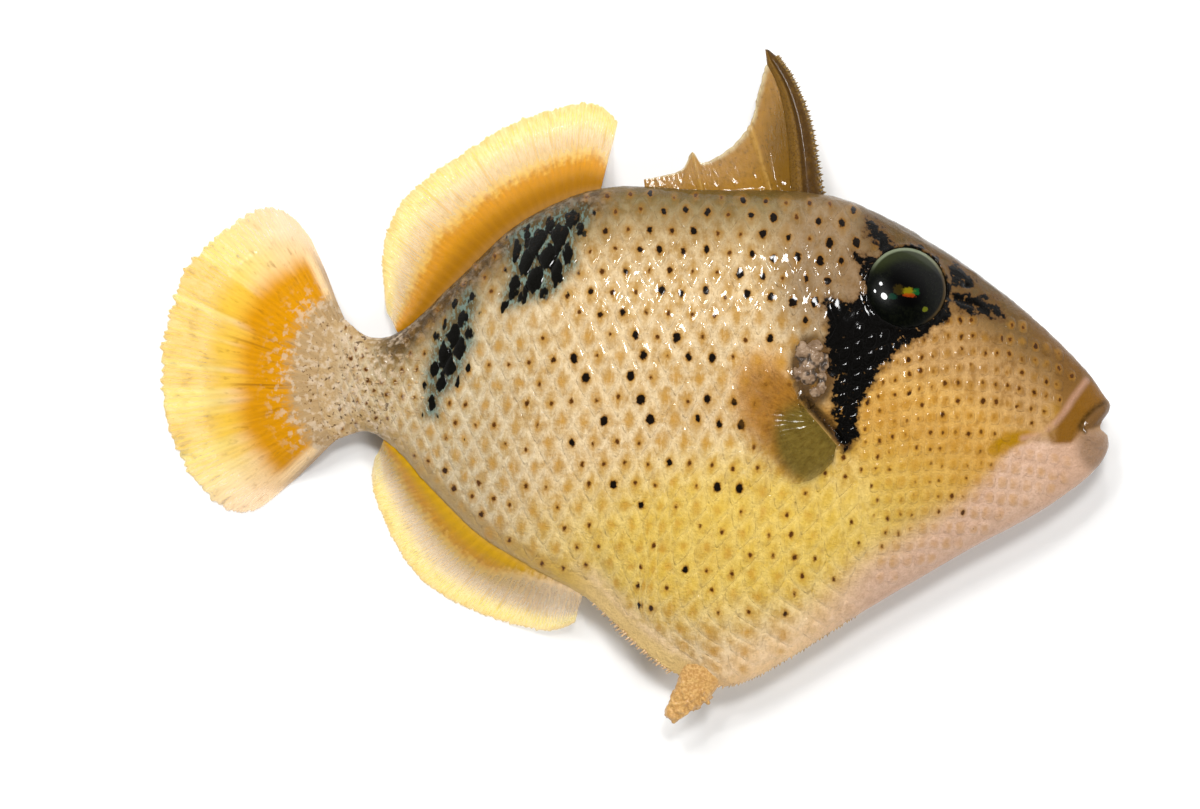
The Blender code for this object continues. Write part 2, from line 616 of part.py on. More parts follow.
def tip_ring(tip, radius, sides):
    """A small level ring that ends a cone at its tip."""
    angles = [2 * math.pi * k / sides for k in range(sides)]
    return [(tip[0] + radius * math.cos(a), tip[1], MID_HEIGHT + radius * math.sin(a))
            for a in angles]


def pelvic_stub():
    """The rough, movable stub at the end of the pelvis, as a bent cone."""
    rings = []
    for (x, y), wide, deep in zip(PELVIC_LINE, PELVIC_HALF_WIDTH, PELVIC_HALF_DEPTH):
        ring = []
        for k in range(STUB_SIDES):
            angle = 2 * math.pi * k / STUB_SIDES
            out = math.cos(angle) * wide
            ring.append((x + STUB_ACROSS[0] * out, y + STUB_ACROSS[1] * out,
                         MID_HEIGHT + math.sin(angle) * deep))
        rings.append(ring)
    rings.append(tip_ring(PELVIC_TIP, STUB_TIP_RADIUS, STUB_SIDES))
    return loft("stub", rings)


def pocket():
    """The hollow in the left flank in which the folded left pectoral fin lies."""
    rings = []
    angles = [2 * math.pi * k / POCKET_SIDES for k in range(POCKET_SIDES)]
    for radius, z in ((POCKET_RADII[0], BELOW_ALL), (POCKET_RADII[0], 0.0),
                      (POCKET_RADII[1], POCKET_DEPTH)):
        rings.append([(POCKET_CENTRE[0] + radius * math.cos(a),
                       POCKET_CENTRE[1] + radius * math.sin(a), z) for a in angles])
    return loft("pocket", rings)


def part_body():
    """The body, parted into its nodes by walls one gap wide."""
    body = whole_body()
    combine(body, [pelvic_stub()], "UNION")
    beyond = [curve_at(TAIL_END, k / CUT_STEPS) for k in range(CUT_STEPS + 1)]
    beyond += [(PAST_TAIL_X, TAIL_END[-1][1]), (PAST_TAIL_X, TAIL_END[0][1])]
    cuts = [thin_wall("cut", line, GAP) for line in (HEAD_CUT, TAIL_CUT, FLAP_CUT, SPINE_CUT)]
    cuts.append(upright("beyond", beyond))
    cuts.append(pocket())
    for side, depth in GILL_SLIT_DEPTHS.items():
        cuts.append(roll("gill slit", GILL_SLIT, GILL_SLIT_RADII, side, depth))
    combine(body, cuts, "DIFFERENCE")
    mesh = body.data
    bpy.data.objects.remove(body)
    return [piece_of(mesh, "piece", group) for group in islands(mesh)]


def middle(obj):
    """The middle of an object's box, in millimetres."""
    corners = [vert.co / MM for vert in obj.data.vertices]
    low = [min(c[i] for c in corners) for i in range(3)]
    high = [max(c[i] for c in corners) for i in range(3)]
    return Vector([(low[i] + high[i]) / 2 for i in range(3)])


def name_pieces(pieces):
    """Names each piece of the body, largest first, by where its middle lies."""
    named = {}
    for piece in pieces:
        here = middle(piece).to_2d()
        name = min(PIECE_MIDDLES, key=lambda n: (here - Vector(PIECE_MIDDLES[n])).length)
        if name in named:
            bpy.data.objects.remove(piece)
        else:
            piece.name = piece.data.name = name
            named[name] = piece
    return named


def sheet(name, columns, rows, place, half, below=1.0):
    """A closed thin sheet round the surface place(u, v), split alike on both faces.

    columns holds a place u from 0 to 1 for each, and its share of ray at the root and at the
    tip, from 0 to 1. half is half the thickness, of which below lies under the surface.
    """
    step = 0.004
    points = []
    chance = random.Random(name + str(SEED))
    for u, root_share, tip_share in columns:
        longer = 1 + RAY_TIP_REACH * tip_share + chance.uniform(-1, 1) * RAY_TIP_SPREAD
        for v in rows:
            ray = root_share + (tip_share - root_share) * v
            reach = v * (1 + (longer - 1) * v * v)
            here = place(u, reach)
            out = place(u, reach + step) - place(u, reach - step)
            along = place(u + step, reach) - place(u - step, reach)
            normal = out.cross(along).normalized()
            if normal.z < 0:
                normal = -normal
            points.append(here + normal * half(ray, v) * (2 - below))
            under = here - normal * half(ray, v) * below
            under.z = max(under.z, 0.0)
            points.append(under)
    count = len(rows)
    faces = []

    def spot(i, j, face):
        return 2 * (i * count + j) + face

    for i in range(len(columns) - 1):
        for j in range(count - 1):
            for face in (0, 1):
                a, b = spot(i, j, face), spot(i + 1, j, face)
                c, d = spot(i + 1, j + 1, face), spot(i, j + 1, face)
                faces += [(a, b, c), (a, c, d)]
    edge = [(i, 0) for i in range(len(columns))]
    edge += [(len(columns) - 1, j) for j in range(1, count)]
    edge += [(i, count - 1) for i in range(len(columns) - 2, -1, -1)]
    edge += [(0, j) for j in range(count - 2, 0, -1)]
    for here, ahead in zip(edge, edge[1:] + edge[:1]):
        a, b = spot(*here, 0), spot(*ahead, 0)
        c, d = spot(*ahead, 1), spot(*here, 1)
        faces += [(a, b, c), (a, c, d)]
    return object_from(name, points, faces)


def ray_columns(rays):
    """Columns of a fin with a valley on each side of every ray."""
    return [(k / (2 * rays), k % 2, k % 2) for k in range(2 * rays + 1)]


def forked_columns(rays):
    """Columns of a fin whose rays fork: each is one ridge at the root and two at the tip."""
    shares = [(0, 0), (0.5, 1), (1, 0.1), (0.5, 1)]
    return [(k / (4 * rays), *shares[k % 4]) for k in range(4 * rays + 1)]


def ray_half(ray, v):
    """Half a fin's thickness: the rays stand out less towards their tips."""
    return MEMBRANE_HALF + (RAY_HALF - MEMBRANE_HALF) * ray * (1 - RAY_FADE * v)


def body_edge(line, x, out):
    """A place out from the back (out above 0) or the belly (out below 0) in side view."""
    step = 0.2
    rise = (height_at(line, x + step) - height_at(line, x - step)) / (2 * step)
    return Vector((x, height_at(line, x))) + Vector((-rise, 1)).normalized() * out


def drooping(root, edge):
    """The surface of a fin that leaves the body level and then droops to the floor."""
    def place(u, v):
        near, far = root(u), edge(u)
        length = (far - near).length
        top = mid_height(near.x)
        low = max(MEMBRANE_HALF, top - DROOP * length)
        fall = smooth_step((v * length - LEVEL_ROOT) / (FLAT_FROM * length - LEVEL_ROOT))
        flat = near + (far - near) * v
        return Vector((flat.x, flat.y, top + (low - top) * fall))
    return place


def edge_fin(name, line, span, out, edge, rays):
    """A soft fin along the back or the belly."""
    place = drooping(lambda u: body_edge(line, span[0] + (span[1] - span[0]) * u, out),
                     lambda u: curve_at(edge, u))
    return sheet(name, ray_columns(rays), FIN_ROWS, place, ray_half)


def caudal_fin(rays):
    place = drooping(lambda u: curve_at(CAUDAL_ROOT, u) - Vector((GAP, 0)),
                     lambda u: curve_at(CAUDAL_EDGE, u))
    return sheet("caudal_fin", forked_columns(rays), FIN_ROWS, place, ray_half)


def pectoral_fin(name, side, rays):
    """A pectoral fin folded back along its flank; the left one lies between it and the floor."""
    top_half = RAY_HALF if side > 0 else LEFT_PECTORAL_RAY_HALF

    def half(ray, v):
        return MEMBRANE_HALF + (top_half - MEMBRANE_HALF) * ray * (1 - RAY_FADE * v)

    def place(u, v):
        near, far = curve_at(PECTORAL_ROOT, u), curve_at(PECTORAL_EDGE, u)
        flat = near + (far - near) * v
        if side < 0:
            return Vector((flat.x, flat.y, 0.0))
        return flank_point(flat.x, flat.y, side, GAP + PECTORAL_LIFT * v * v)

    return sheet(name, ray_columns(rays), PECTORAL_ROWS, place, half, below=0.0)


def first_spine():
    """The stout first spine of the back, an upright blade with a rounded front."""
    rings = []
    for k, half in enumerate(FIRST_SPINE_HALF):
        front, rear = Vector(FIRST_SPINE_FRONT[k]), Vector(FIRST_SPINE_REAR[k])
        if k == 0:
            front.y = height_at(BACK, front.x) + GAP
            rear.y = height_at(BACK, rear.x) + GAP
        ring = []
        for i in range(SPINE_SIDES):
            angle = 2 * math.pi * i / SPINE_SIDES
            flat = (front + rear) / 2 + (front - rear) / 2 * math.cos(angle)
            ring.append((flat.x, flat.y, MID_HEIGHT + half * math.sin(angle)))
        rings.append(ring)
    rings.append(tip_ring(FIRST_SPINE_TIP, SPINE_TIP_RADIUS, SPINE_SIDES))
    return loft("first_dorsal_spine", rings)


def spiny_fin():
    """The membrane behind the first spine, held by the second and third."""
    last = len(SPINY_RIBS) - 1

    def place(u, v):
        reach = min(max(u, 0.0), 1.0) * last
        i = min(int(reach), last - 1)
        (x, end), (next_x, next_end) = SPINY_RIBS[i], SPINY_RIBS[i + 1]
        root = body_edge(BACK, x + (next_x - x) * (reach - i), GAP)
        flat = root.lerp(Vector(end).lerp(Vector(next_end), reach - i), v)
        behind_spine = curve_at(FIRST_SPINE_REAR, v) - Vector((GAP + SPINY_TIP_GAP * v, 0))
        behind_spine.y = max(behind_spine.y, root.y)
        flat = flat.lerp(behind_spine, max(0.0, 1 - reach))
        return Vector((flat.x, flat.y, MID_HEIGHT))

    columns = [(k / last, share, share) for k, share in enumerate(SPINY_RIB_SHARES)]
    return sheet("spiny_dorsal_fin", columns, SPINY_ROWS, place, ray_half)


def centre_on_origin(objects):
    """Moves the whole fish so that the middle of its box, in plan, is the origin."""
    places = [vert.co for obj in objects for vert in obj.data.vertices]
    shift = Vector([-(min(p[i] for p in places) + max(p[i] for p in places)) / 2
                    for i in (0, 1)] + [0])
    for obj in objects:
        for vert in obj.data.vertices:
            vert.co += shift


def finish(obj):
    """Gives a node its own material and smooth shading."""
    colour, roughness = FINISHES[obj.name]
    obj.data.materials.clear()
    obj.data.materials.append(material(obj.name, colour, roughness))
    obj.data.shade_smooth()
    obj.data.set_sharp_from_angle(angle=SHARP_ANGLE)


def main():
    for obj in list(bpy.data.objects):
        bpy.data.objects.remove(obj)
    nodes = name_pieces(part_body())
    nodes["head"] = finish_head(nodes["head"])
    nodes["eye_right"] = eye_ball("eye_right", 1)
    nodes["eye_left"] = eye_ball("eye_left", -1)
    nodes["first_dorsal_spine"] = first_spine()
    nodes["spiny_dorsal_fin"] = spiny_fin()
    nodes["soft_dorsal_fin"] = edge_fin("soft_dorsal_fin", BACK, SOFT_DORSAL_X, GAP,
                                        SOFT_DORSAL_EDGE, SOFT_DORSAL_RAYS)
    nodes["anal_fin"] = edge_fin("anal_fin", BELLY, ANAL_X, -GAP, ANAL_EDGE, ANAL_RAYS)
    nodes["caudal_fin"] = caudal_fin(CAUDAL_RAYS)
    nodes["pectoral_fin_right"] = pectoral_fin("pectoral_fin_right", 1, PECTORAL_RAYS)
    nodes["pectoral_fin_left"] = pectoral_fin("pectoral_fin_left", -1, PECTORAL_RAYS)
    add_rough_forms(nodes)
    centre_on_origin(nodes.values())
    for node in nodes.values():
        finish(node)


main()
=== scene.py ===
"""Looks of a young yellowmargin triggerfish: its skin, scale plates, fins, spines and eyes.

Shapes are worked out in the fish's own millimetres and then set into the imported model's frame,
in metres. X runs to the snout, Y to the back and Z up, out of the fish's right side.
"""

import math
import random

import bmesh
import bpy
import numpy as np
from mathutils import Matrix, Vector, noise
from mathutils.bvhtree import BVHTree


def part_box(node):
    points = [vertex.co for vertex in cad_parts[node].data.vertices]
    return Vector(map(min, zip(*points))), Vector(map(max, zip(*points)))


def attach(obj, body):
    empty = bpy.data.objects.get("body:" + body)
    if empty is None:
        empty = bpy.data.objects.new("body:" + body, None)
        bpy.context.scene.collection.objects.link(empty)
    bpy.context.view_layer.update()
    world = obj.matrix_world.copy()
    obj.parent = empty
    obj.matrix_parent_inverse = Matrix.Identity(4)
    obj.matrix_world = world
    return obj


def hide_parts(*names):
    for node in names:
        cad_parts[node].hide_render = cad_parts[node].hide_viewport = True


MM = 0.001
SEED = 45
SIDES = (1, -1)
SIDE_NAMES = {1: "right", -1: "left"}

# The body's form, as in the source of the solids.
BACK = [(-31, 6.4), (-28.1, 4.8), (-25.2, 2.85), (-22.2, 3.6), (-17.7, 8.1), (-11.5, 14.4),
        (-4.1, 18.0), (5, 18.4), (17.2, 18.6), (24, 16.3), (31.7, 12.1), (38, 7.6), (42.5, 3.6),
        (44.4, 1.35), (45.0, 0.5)]
BELLY = [(-31, -8.7), (-27.8, -7.2), (-24.9, -6.15), (-22.2, -7.6), (-18.2, -11.5),
         (-13.8, -15.3), (-8.4, -18.2), (-2.9, -20.9), (0.6, -24.0), (5.0, -27.2), (9.1, -28.4),
         (13.1, -27.3), (23, -20.5), (31.8, -14.6), (39.1, -10.1), (42.9, -7.1), (44.4, -5.4),
         (45.0, -4.4)]
WIDEST_HALF = [(-31, 0.8), (-28, 1.4), (-25, 2.2), (-20, 3.0), (-14, 4.2), (-6, 5.6), (2, 6.5),
               (10, 7.05), (17, 7.3), (22, 7.1), (28, 6.2), (34, 4.9), (40, 3.4), (43, 2.5),
               (44.4, 1.8), (45.0, 1.3)]
WIDEST_HEIGHT = [(-31, -1.2), (-15, -1.3), (0, 0.4), (15, 0.4), (25, -0.4), (35, -1.8),
                 (45.0, -2.0)]
BACK_SHARPNESS = [(-31, 1.0), (-10, 0.95), (10, 0.85), (22, 0.72), (34, 0.8), (45.0, 0.7)]
BELLY_SHARPNESS = [(-31, 1.0), (-14, 1.1), (0, 1.3), (8, 1.45), (24, 1.35), (36, 1.0),
                   (45.0, 0.7)]
NOSE_X, TAIL_X = 45.0, -31.0
MID_HEIGHT, TAIL_SAG, SAG_START, SAG_LENGTH = 6.4, 2.4, -2.0, 28.0
FLAP_X, FLAP_THINNING, FLAP_DEPTH, FLAP_BLEND = (-3.0, 8.0), 0.62, 3.4, 1.6
POCKET_CENTRE, POCKET_RADII, POCKET_DEPTH = (14.0, -3.0), (7.7, 7.0), 0.95
FLANK_DENT, DENT_EDGE, DENT_FALL = 0.45, 2.2, 1.4
TAIL_END = [(-27.8, 7.6), (-28.5, 5.0), (-29.6, 2.6), (-30.0, -1.0), (-29.5, -4.6),
            (-28.2, -7.4), (-27.4, -9.4)]
PAST_TAIL_X = -40.0

# The head's forms.
EYE, EYE_HALF_DEPTH, EYE_BULGE = (24.9, 10.1), 2.3, 0.6
DOME_RADIUS, DOME_HEIGHT, DOME_DEPTH, RIM_RADIUS, RIM_THICKNESS = 3.75, 0.75, 2.1, 3.88, 0.2
LIP_CORNER, LIP_REACH, LIP_HALF_SPAN, LIP_CORNER_RADIUS = (42.3, -2.25), 2.05, 2.3, 0.42
LIP_ARC, LIP_FULLNESS = math.radians(200), 0.7
UPPER_LIP, LOWER_LIP = (2.45, 0.8), (-1.2, 0.9)
NOTCH = [(42.9, -2.2), (43.7, -1.85), (44.1, -1.75), (44.4, -1.1), (44.9, -0.5), (47.0, 1.6),
         (47.0, -4.6), (45.1, -2.75), (44.6, -2.35), (44.0, -2.1)]
GROOVE = [(28.6, 9.6), (31.0, 9.0), (34.1, 7.8)]
NOSTRILS, NOSTRIL_SIZE = [(29.7, 11.6), (30.7, 10.7)], (0.34, 0.26, 0.7)
MOUTH_CENTRE, MOUTH_SIZE = (43.5, -1.95), (1.7, 0.42, 1.5)
FOLD = [(42.5, 2.4), (41.4, 0.9), (40.4, -0.7), (39.2, -2.1), (37.9, -2.9), (36.6, -3.3)]
GILL_SLIT = [(15.9, -0.7), (17.6, -2.3), (20.2, -4.9)]
HEAD_LINE = [(21.6, 21.0), (20.4, 13.0), (18.8, 5.0), (17.9, 0.2), (18.0, -2.4), (20.1, -4.7),
             (22.2, -11.0), (23.6, -24.0)]

# How finely the skin is made.
SKIN_STATIONS, SKIN_RING, STATION_CROWDING = 200, 168, 1.25
SKIN_VOXEL, SKIN_SMOOTHING, SKIN_SINK = 0.235, 4, 0.06
SMOOTHING_STEPS = (0.5, -0.52)
TUBE_SIDES, ROLL_STEPS, LIP_STEPS, RIM_STEPS, RIM_SIDES, POCKET_SIDES = 14, 24, 40, 72, 12, 48
DOME_SIDES, DOME_RINGS = 96, 30


def smooth_step(t):
    """A rise from 0 to 1 with level ends."""
    t = np.clip(t, 0.0, 1.0)
    return t * t * (3 - 2 * t)


def ramp(value, start, width):
    """0 up to start, then a rise to 1 over this width. A width below 0 goes the other way."""
    return smooth_step((value - start) / width)


def height_at(points, x):
    """The heights at x of a smooth line through points whose x values rise."""
    knots = np.asarray(points, float)
    xs, ys = knots[:, 0], knots[:, 1]
    before = np.maximum(np.arange(len(xs)) - 1, 0)
    after = np.minimum(np.arange(len(xs)) + 1, len(xs) - 1)
    slopes = (ys[after] - ys[before]) / (xs[after] - xs[before])
    x = np.clip(x, xs[0], xs[-1])
    i = np.clip(np.searchsorted(xs, x, side="right") - 1, 0, len(xs) - 2)
    span = xs[i + 1] - xs[i]
    t = (x - xs[i]) / span
    return (ys[i] * (1 + 2 * t) * (1 - t) ** 2 + slopes[i] * span * t * (1 - t) ** 2
            + ys[i + 1] * t * t * (3 - 2 * t) - slopes[i + 1] * span * t * t * (1 - t))


def curve_at(points, t):
    """The places at t, 0 to 1, on a smooth curve through points of any dimension."""
    knots = np.asarray(points, float)
    last = len(knots) - 1
    reach = np.clip(t, 0.0, 1.0) * last
    i = np.minimum(reach.astype(int), last - 1)
    s = (reach - i)[..., None]
    start = (knots[i + 1] - knots[np.maximum(i - 1, 0)]) / 2
    end = (knots[np.minimum(i + 2, last)] - knots[i]) / 2
    return (knots[i] * (1 + 2 * s) * (1 - s) ** 2 + start * s * (1 - s) ** 2
            + knots[i + 1] * s * s * (3 - 2 * s) - end * s * s * (1 - s))


def steps(count):
    return np.arange(count + 1) / count


def round_angles(count):
    return 2 * math.pi * np.arange(count) / count


def above_floor(points):
    """Lifts those of the points that lie under the floor."""
    points[..., 2] = np.maximum(points[..., 2], 0.0)
    return points


def mid_height(x):
    """Height over the floor of the fish's middle plane, which sags towards the tail."""
    return MID_HEIGHT - TAIL_SAG * smooth_step((SAG_START - x) / SAG_LENGTH)


def half_thickness(x, y):
    """Half the body's thickness at places in side view."""
    back, belly, mid = height_at(BACK, x), height_at(BELLY, x), height_at(WIDEST_HEIGHT, x)
    upper = y >= mid
    away = np.where(upper, (y - mid) / (back - mid), (mid - y) / (mid - belly))
    power = np.where(upper, height_at(BACK_SHARPNESS, x), height_at(BELLY_SHARPNESS, x))
    half = height_at(WIDEST_HALF, x) * np.maximum(1 - away * away, 0.0) ** (power / 2)
    middle, reach = (FLAP_X[0] + FLAP_X[1]) / 2, (FLAP_X[1] - FLAP_X[0]) / 2
    in_flap = smooth_step(FLAP_BLEND - np.abs(x - middle) / reach)
    return half * (1 - FLAP_THINNING * in_flap * np.exp(-((y - belly) / FLAP_DEPTH) ** 2))


def fin_dent(x, y):
    """How far the right flank is hollowed under its folded pectoral fin."""
    away = np.hypot(x - POCKET_CENTRE[0], y - POCKET_CENTRE[1]) / POCKET_RADII[0]
    return FLANK_DENT * smooth_step(DENT_EDGE - DENT_FALL * away)


def flank_points(x, y, side, out=0.0):
    """Places on the body's surface, on the right (side 1, above) or the left (side -1)."""
    x, y = np.asarray(x, float), np.asarray(y, float)
    dent = np.where(np.asarray(side) > 0, fin_dent(x, y), 0.0)
    z = mid_height(x) + side * (half_thickness(x, y) - dent + out)
    return np.stack([x, y, z], axis=-1)


def unit(vectors):
    return vectors / np.maximum(np.linalg.norm(vectors, axis=-1, keepdims=True), 1e-9)


def flank_normals(x, y, side):
    step = 0.4
    along = flank_points(x + step, y, side) - flank_points(x - step, y, side)
    up = flank_points(x, y + step, side) - flank_points(x, y - step, side)
    return unit(np.cross(along, up)) * side


def eye_place(side):
    """The middle of an eyeball and its outward direction."""
    x, y = np.array(EYE[0]), np.array(EYE[1])
    normal = flank_normals(x, y, side)
    return flank_points(x, y, side) + normal * (EYE_BULGE - EYE_HALF_DEPTH), normal


def turn_to(normal, along=(1, 0, 0)):
    """The rotation whose third axis is normal and whose first is nearest to along."""
    normal, along = unit(np.asarray(normal, float)), np.asarray(along, float)
    first = unit(along - normal * along.dot(normal))
    return np.stack([first, np.cross(normal, first), normal], axis=1)


def frame_shift():
    """From the fish's own millimetres to the frame's, read off the right eye's box."""
    low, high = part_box("eye_right")
    middle = (np.array(low) + np.array(high)) / 2 / MM
    centre, _ = eye_place(1)
    return np.array([middle[0] - centre[0], middle[1] - centre[1], 0.0])


# Meshes

def mesh_object(name, points, faces):
    """An object from points in millimetres, left in millimetres until place() sets it."""
    mesh = bpy.data.meshes.new(name)
    mesh.from_pydata(np.asarray(points, float).tolist(), [], [list(face) for face in faces])
    mesh.update()
    mesh.shade_smooth()
    obj = bpy.data.objects.new(name, mesh)
    bpy.context.scene.collection.objects.link(obj)
    return obj


def points_of(mesh):
    flat = np.empty(len(mesh.vertices) * 3, np.float32)
    mesh.vertices.foreach_get("co", flat)
    return flat.reshape(-1, 3).astype(float)


def normals_of(mesh):
    flat = np.empty(len(mesh.vertices) * 3, np.float32)
    mesh.vertex_normals.foreach_get("vector", flat)
    return flat.reshape(-1, 3).astype(float)


def set_points(mesh, points):
    mesh.vertices.foreach_set("co", np.ascontiguousarray(points, np.float32).ravel())
    mesh.update()


def recalculate_normals(obj):
    work = bmesh.new()
    work.from_mesh(obj.data)
    bmesh.ops.recalc_face_normals(work, faces=work.faces)
    work.to_mesh(obj.data)
    work.free()
    return obj


def ring_faces(rings, around, closed_ends=True, start=0):
    """Faces of a tube of rings, each a list of points, with a fan point after each end."""
    faces = []
    for k in range(rings - 1):
        for i in range(around):
            ahead = (i + 1) % around
            a, b = start + k * around, start + (k + 1) * around
            faces.append((a + i, a + ahead, b + ahead, b + i))
    if closed_ends:
        first, last = start + rings * around, start + rings * around + 1
        end = start + (rings - 1) * around
        for i in range(around):
            ahead = (i + 1) % around
            faces.append((start + ahead, start + i, first))
            faces.append((end + i, end + ahead, last))
    return faces


def loft(name, rings):
    """A closed form through rings of points, an array of shape (rings, around, 3)."""
    rings = np.asarray(rings, float)
    points = np.concatenate([rings.reshape(-1, 3), rings[:1].mean(axis=1),
                             rings[-1:].mean(axis=1)])
    return recalculate_normals(mesh_object(name, points, ring_faces(*rings.shape[:2])))


def rings_round(path, across, over, radii, count):
    """Rings of points round a path, spread between two directions across it."""
    angles = round_angles(count)[:, None]
    circle = across[:, None] * np.cos(angles) + over[:, None] * np.sin(angles)
    return path[:, None] + circle * radii


def tube(name, path, radii, up):
    """A closed roll along a path. up is a direction that the path never takes."""
    ahead = unit(np.gradient(path, axis=0))
    across = unit(np.cross(ahead, up))
    over = np.cross(across, ahead)
    return loft(name, rings_round(path, across, over, radii[:, None, None], TUBE_SIDES))


def ball(name, centre, sizes, turn=np.eye(3), segments=48, rings=28):
    """An ellipsoid with its pole along the turn's third axis."""
    polar = math.pi * (np.arange(rings) + 0.5) / rings
    angles = round_angles(segments)
    places = np.stack([np.sin(polar)[:, None] * np.cos(angles),
                       np.sin(polar)[:, None] * np.sin(angles),
                       np.cos(polar)[:, None] * np.ones(segments)], axis=-1)
    return loft(name, np.asarray(centre) + (places * np.asarray(sizes)) @ np.asarray(turn).T)


def prism(name, outline, low, high):
    flat = np.asarray(outline, float)
    rings = [np.column_stack([flat, np.full(len(flat), z)]) for z in (low, high)]
    return loft(name, rings)


def flank_roll(name, line, radii, side, sink):
    """A roll along a line on the flank, thin at both ends and sunk this far."""
    t = steps(ROLL_STEPS)
    flat = curve_at(line, t)
    path = flank_points(flat[:, 0], flat[:, 1], side, -sink)
    swell = 0.25 + 0.75 * np.sin(math.pi * (0.08 + 0.84 * t))
    return tube(name, path, (radii[0] + (radii[1] - radii[0]) * t) * swell, (0, 0, 1))


def combine(target, others, operation):
    """Applies one Boolean with all the others, which are then removed."""
    group = bpy.data.collections.new("operands")
    for other in others:
        group.objects.link(other)
    cut = target.modifiers.new("Boolean", "BOOLEAN")
    cut.operation, cut.operand_type, cut.collection = operation, "COLLECTION", group
    cut.solver = "MANIFOLD"
    apply_modifiers(target)
    for other in others:
        bpy.data.objects.remove(other)
    bpy.data.collections.remove(group)


def apply_modifiers(obj):
    graph = bpy.context.evaluated_depsgraph_get()
    made = bpy.data.meshes.new_from_object(obj.evaluated_get(graph))
    obj.modifiers.clear()
    old, obj.data = obj.data, made
    bpy.data.meshes.remove(old)


def remesh(obj, voxel):
    step = obj.modifiers.new("Remesh", "REMESH")
    step.mode, step.voxel_size, step.use_smooth_shade = "VOXEL", voxel, True
    apply_modifiers(obj)


def smoothed(mesh, points, rounds):
    """Evens out small steps in a mesh without shrinking it."""
    ends = np.empty(len(mesh.edges) * 2, np.int32)
    mesh.edges.foreach_get("vertices", ends)
    ends = ends.reshape(-1, 2)
    count = np.bincount(ends.ravel(), minlength=len(points))[:, None]
    for amount in SMOOTHING_STEPS * rounds:
        total = np.zeros_like(points)
        for axis in range(3):
            for here, there in ((0, 1), (1, 0)):
                total[:, axis] += np.bincount(ends[:, here], points[ends[:, there], axis],
                                              minlength=len(points))
        points = points + amount * (total / np.maximum(count, 1) - points)
    return points


def place(obj, material, slot, *replaced):
    """Gives an object its material and sets it into the frame, on the fish's one body."""
    obj.data.materials.clear()
    obj.data.materials.append(material)
    obj.data.polygons.foreach_set("material_index", [0] * len(obj.data.polygons))
    set_points(obj.data, (points_of(obj.data) + SHIFT) * MM)
    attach(obj, "root")
    if replaced:
        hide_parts(*replaced)


def set_fields(mesh, **fields):
    """Writes fields that materials read: a number, a vector or a colour for each point."""
    for name, values in fields.items():
        kind, key = {1: ("FLOAT", "value"), 3: ("FLOAT_VECTOR", "vector"),
                     4: ("FLOAT_COLOR", "color")}[values.shape[1] if values.ndim > 1 else 1]
        layer = mesh.attributes.new(name, kind, "POINT")
        layer.data.foreach_set(key, np.ascontiguousarray(values, np.float32).ravel())


def with_alpha(colours):
    return np.hstack([colours, np.ones((len(colours), 1))])


def roughness_of(points, size, seed):
    """Smooth random values from -1 to 1 at points, with features of about this size in mm."""
    offset = Vector((seed * 7.3, seed * 3.1, seed * 5.7))
    return np.array([noise.noise(Vector(p) / size + offset) for p in points])


# Markings

def linear(red, green, blue):
    """A colour in Blender's linear values from 0 to 255 screen values."""
    parts = np.array([red, green, blue]) / 255
    return np.where(parts <= 0.04045, parts / 12.92, ((parts + 0.055) / 1.055) ** 2.4)


INK = [(20.7, 16.5), (21.8, 16.3), (22.9, 15.0), (23.7, 13.8), (25.0, 13.9), (26.3, 13.8),
       (27.9, 12.9), (28.9, 11.4), (29.2, 9.8), (29.1, 8.3), (28.2, 7.0), (26.7, 5.9),
       (25.1, 5.0), (24.5, 4.1), (23.2, 3.1), (22.3, 1.8), (21.8, 0.7), (21.3, -0.8),
       (20.8, -2.0), (20.6, -3.4), (19.6, -2.9), (19.2, -1.8), (18.6, -0.9), (18.6, 0.3),
       (18.3, 1.1), (18.0, 2.3), (17.8, 3.8), (17.6, 4.4), (17.9, 5.4), (17.6, 7.0),
       (17.4, 8.2), (17.9, 8.8), (18.9, 8.6), (20.1, 8.7), (21.0, 9.7), (20.5, 11.7),
       (19.9, 12.7), (21.0, 12.8), (22.5, 12.6), (22.2, 13.9), (21.2, 14.9)]
INK_AHEAD = [
    [(28.8, 12.5), (29.5, 12.8), (30.5, 12.1), (31.6, 11.5), (31.5, 10.7), (30.4, 10.5),
     (29.3, 10.4), (28.9, 11.2)],
    [(29.2, 9.9), (30.4, 10.1), (31.8, 9.6), (33.3, 8.9), (34.4, 8.0), (33.2, 8.0), (31.6, 8.3),
     (30.3, 8.4), (29.5, 8.5)],
    [(32.3, 9.9), (33.5, 9.7), (33.5, 9.4), (32.4, 9.5)],
]
SADDLES = [
    [(-12.2, 12.5), (-11.1, 14.0), (-9.3, 14.8), (-6.3, 16.1), (-4.7, 15.7), (-5.2, 14.3),
     (-6.3, 12.8), (-5.8, 10.6), (-7.0, 8.9), (-7.8, 7.7), (-10.0, 7.0), (-12.3, 6.0),
     (-12.7, 7.1), (-11.9, 9.0), (-12.2, 11.0)],
    [(-15.8, 7.8), (-15.0, 6.6), (-15.4, 4.7), (-15.1, 2.7), (-15.7, 1.5), (-16.1, -0.2),
     (-17.2, -1.9), (-18.0, -2.4), (-18.1, -4.3), (-19.4, -4.4), (-19.3, -2.4), (-19.5, -0.4),
     (-19.0, 1.5), (-18.7, 2.9), (-17.8, 4.5), (-17.0, 6.1)],
]
JAW = [(42.5, -3.0), (41.0, -3.1), (38.1, -3.2), (35.9, -3.9), (35.2, -4.6), (34.7, -5.4),
       (33.7, -6.9), (31.5, -9.3), (28.8, -11.5), (25.1, -14.1), (21.5, -16.3), (18.4, -19.6),
       (14.0, -24.0), (14.0, -32.0), (50.0, -32.0), (50.0, -3.0)]
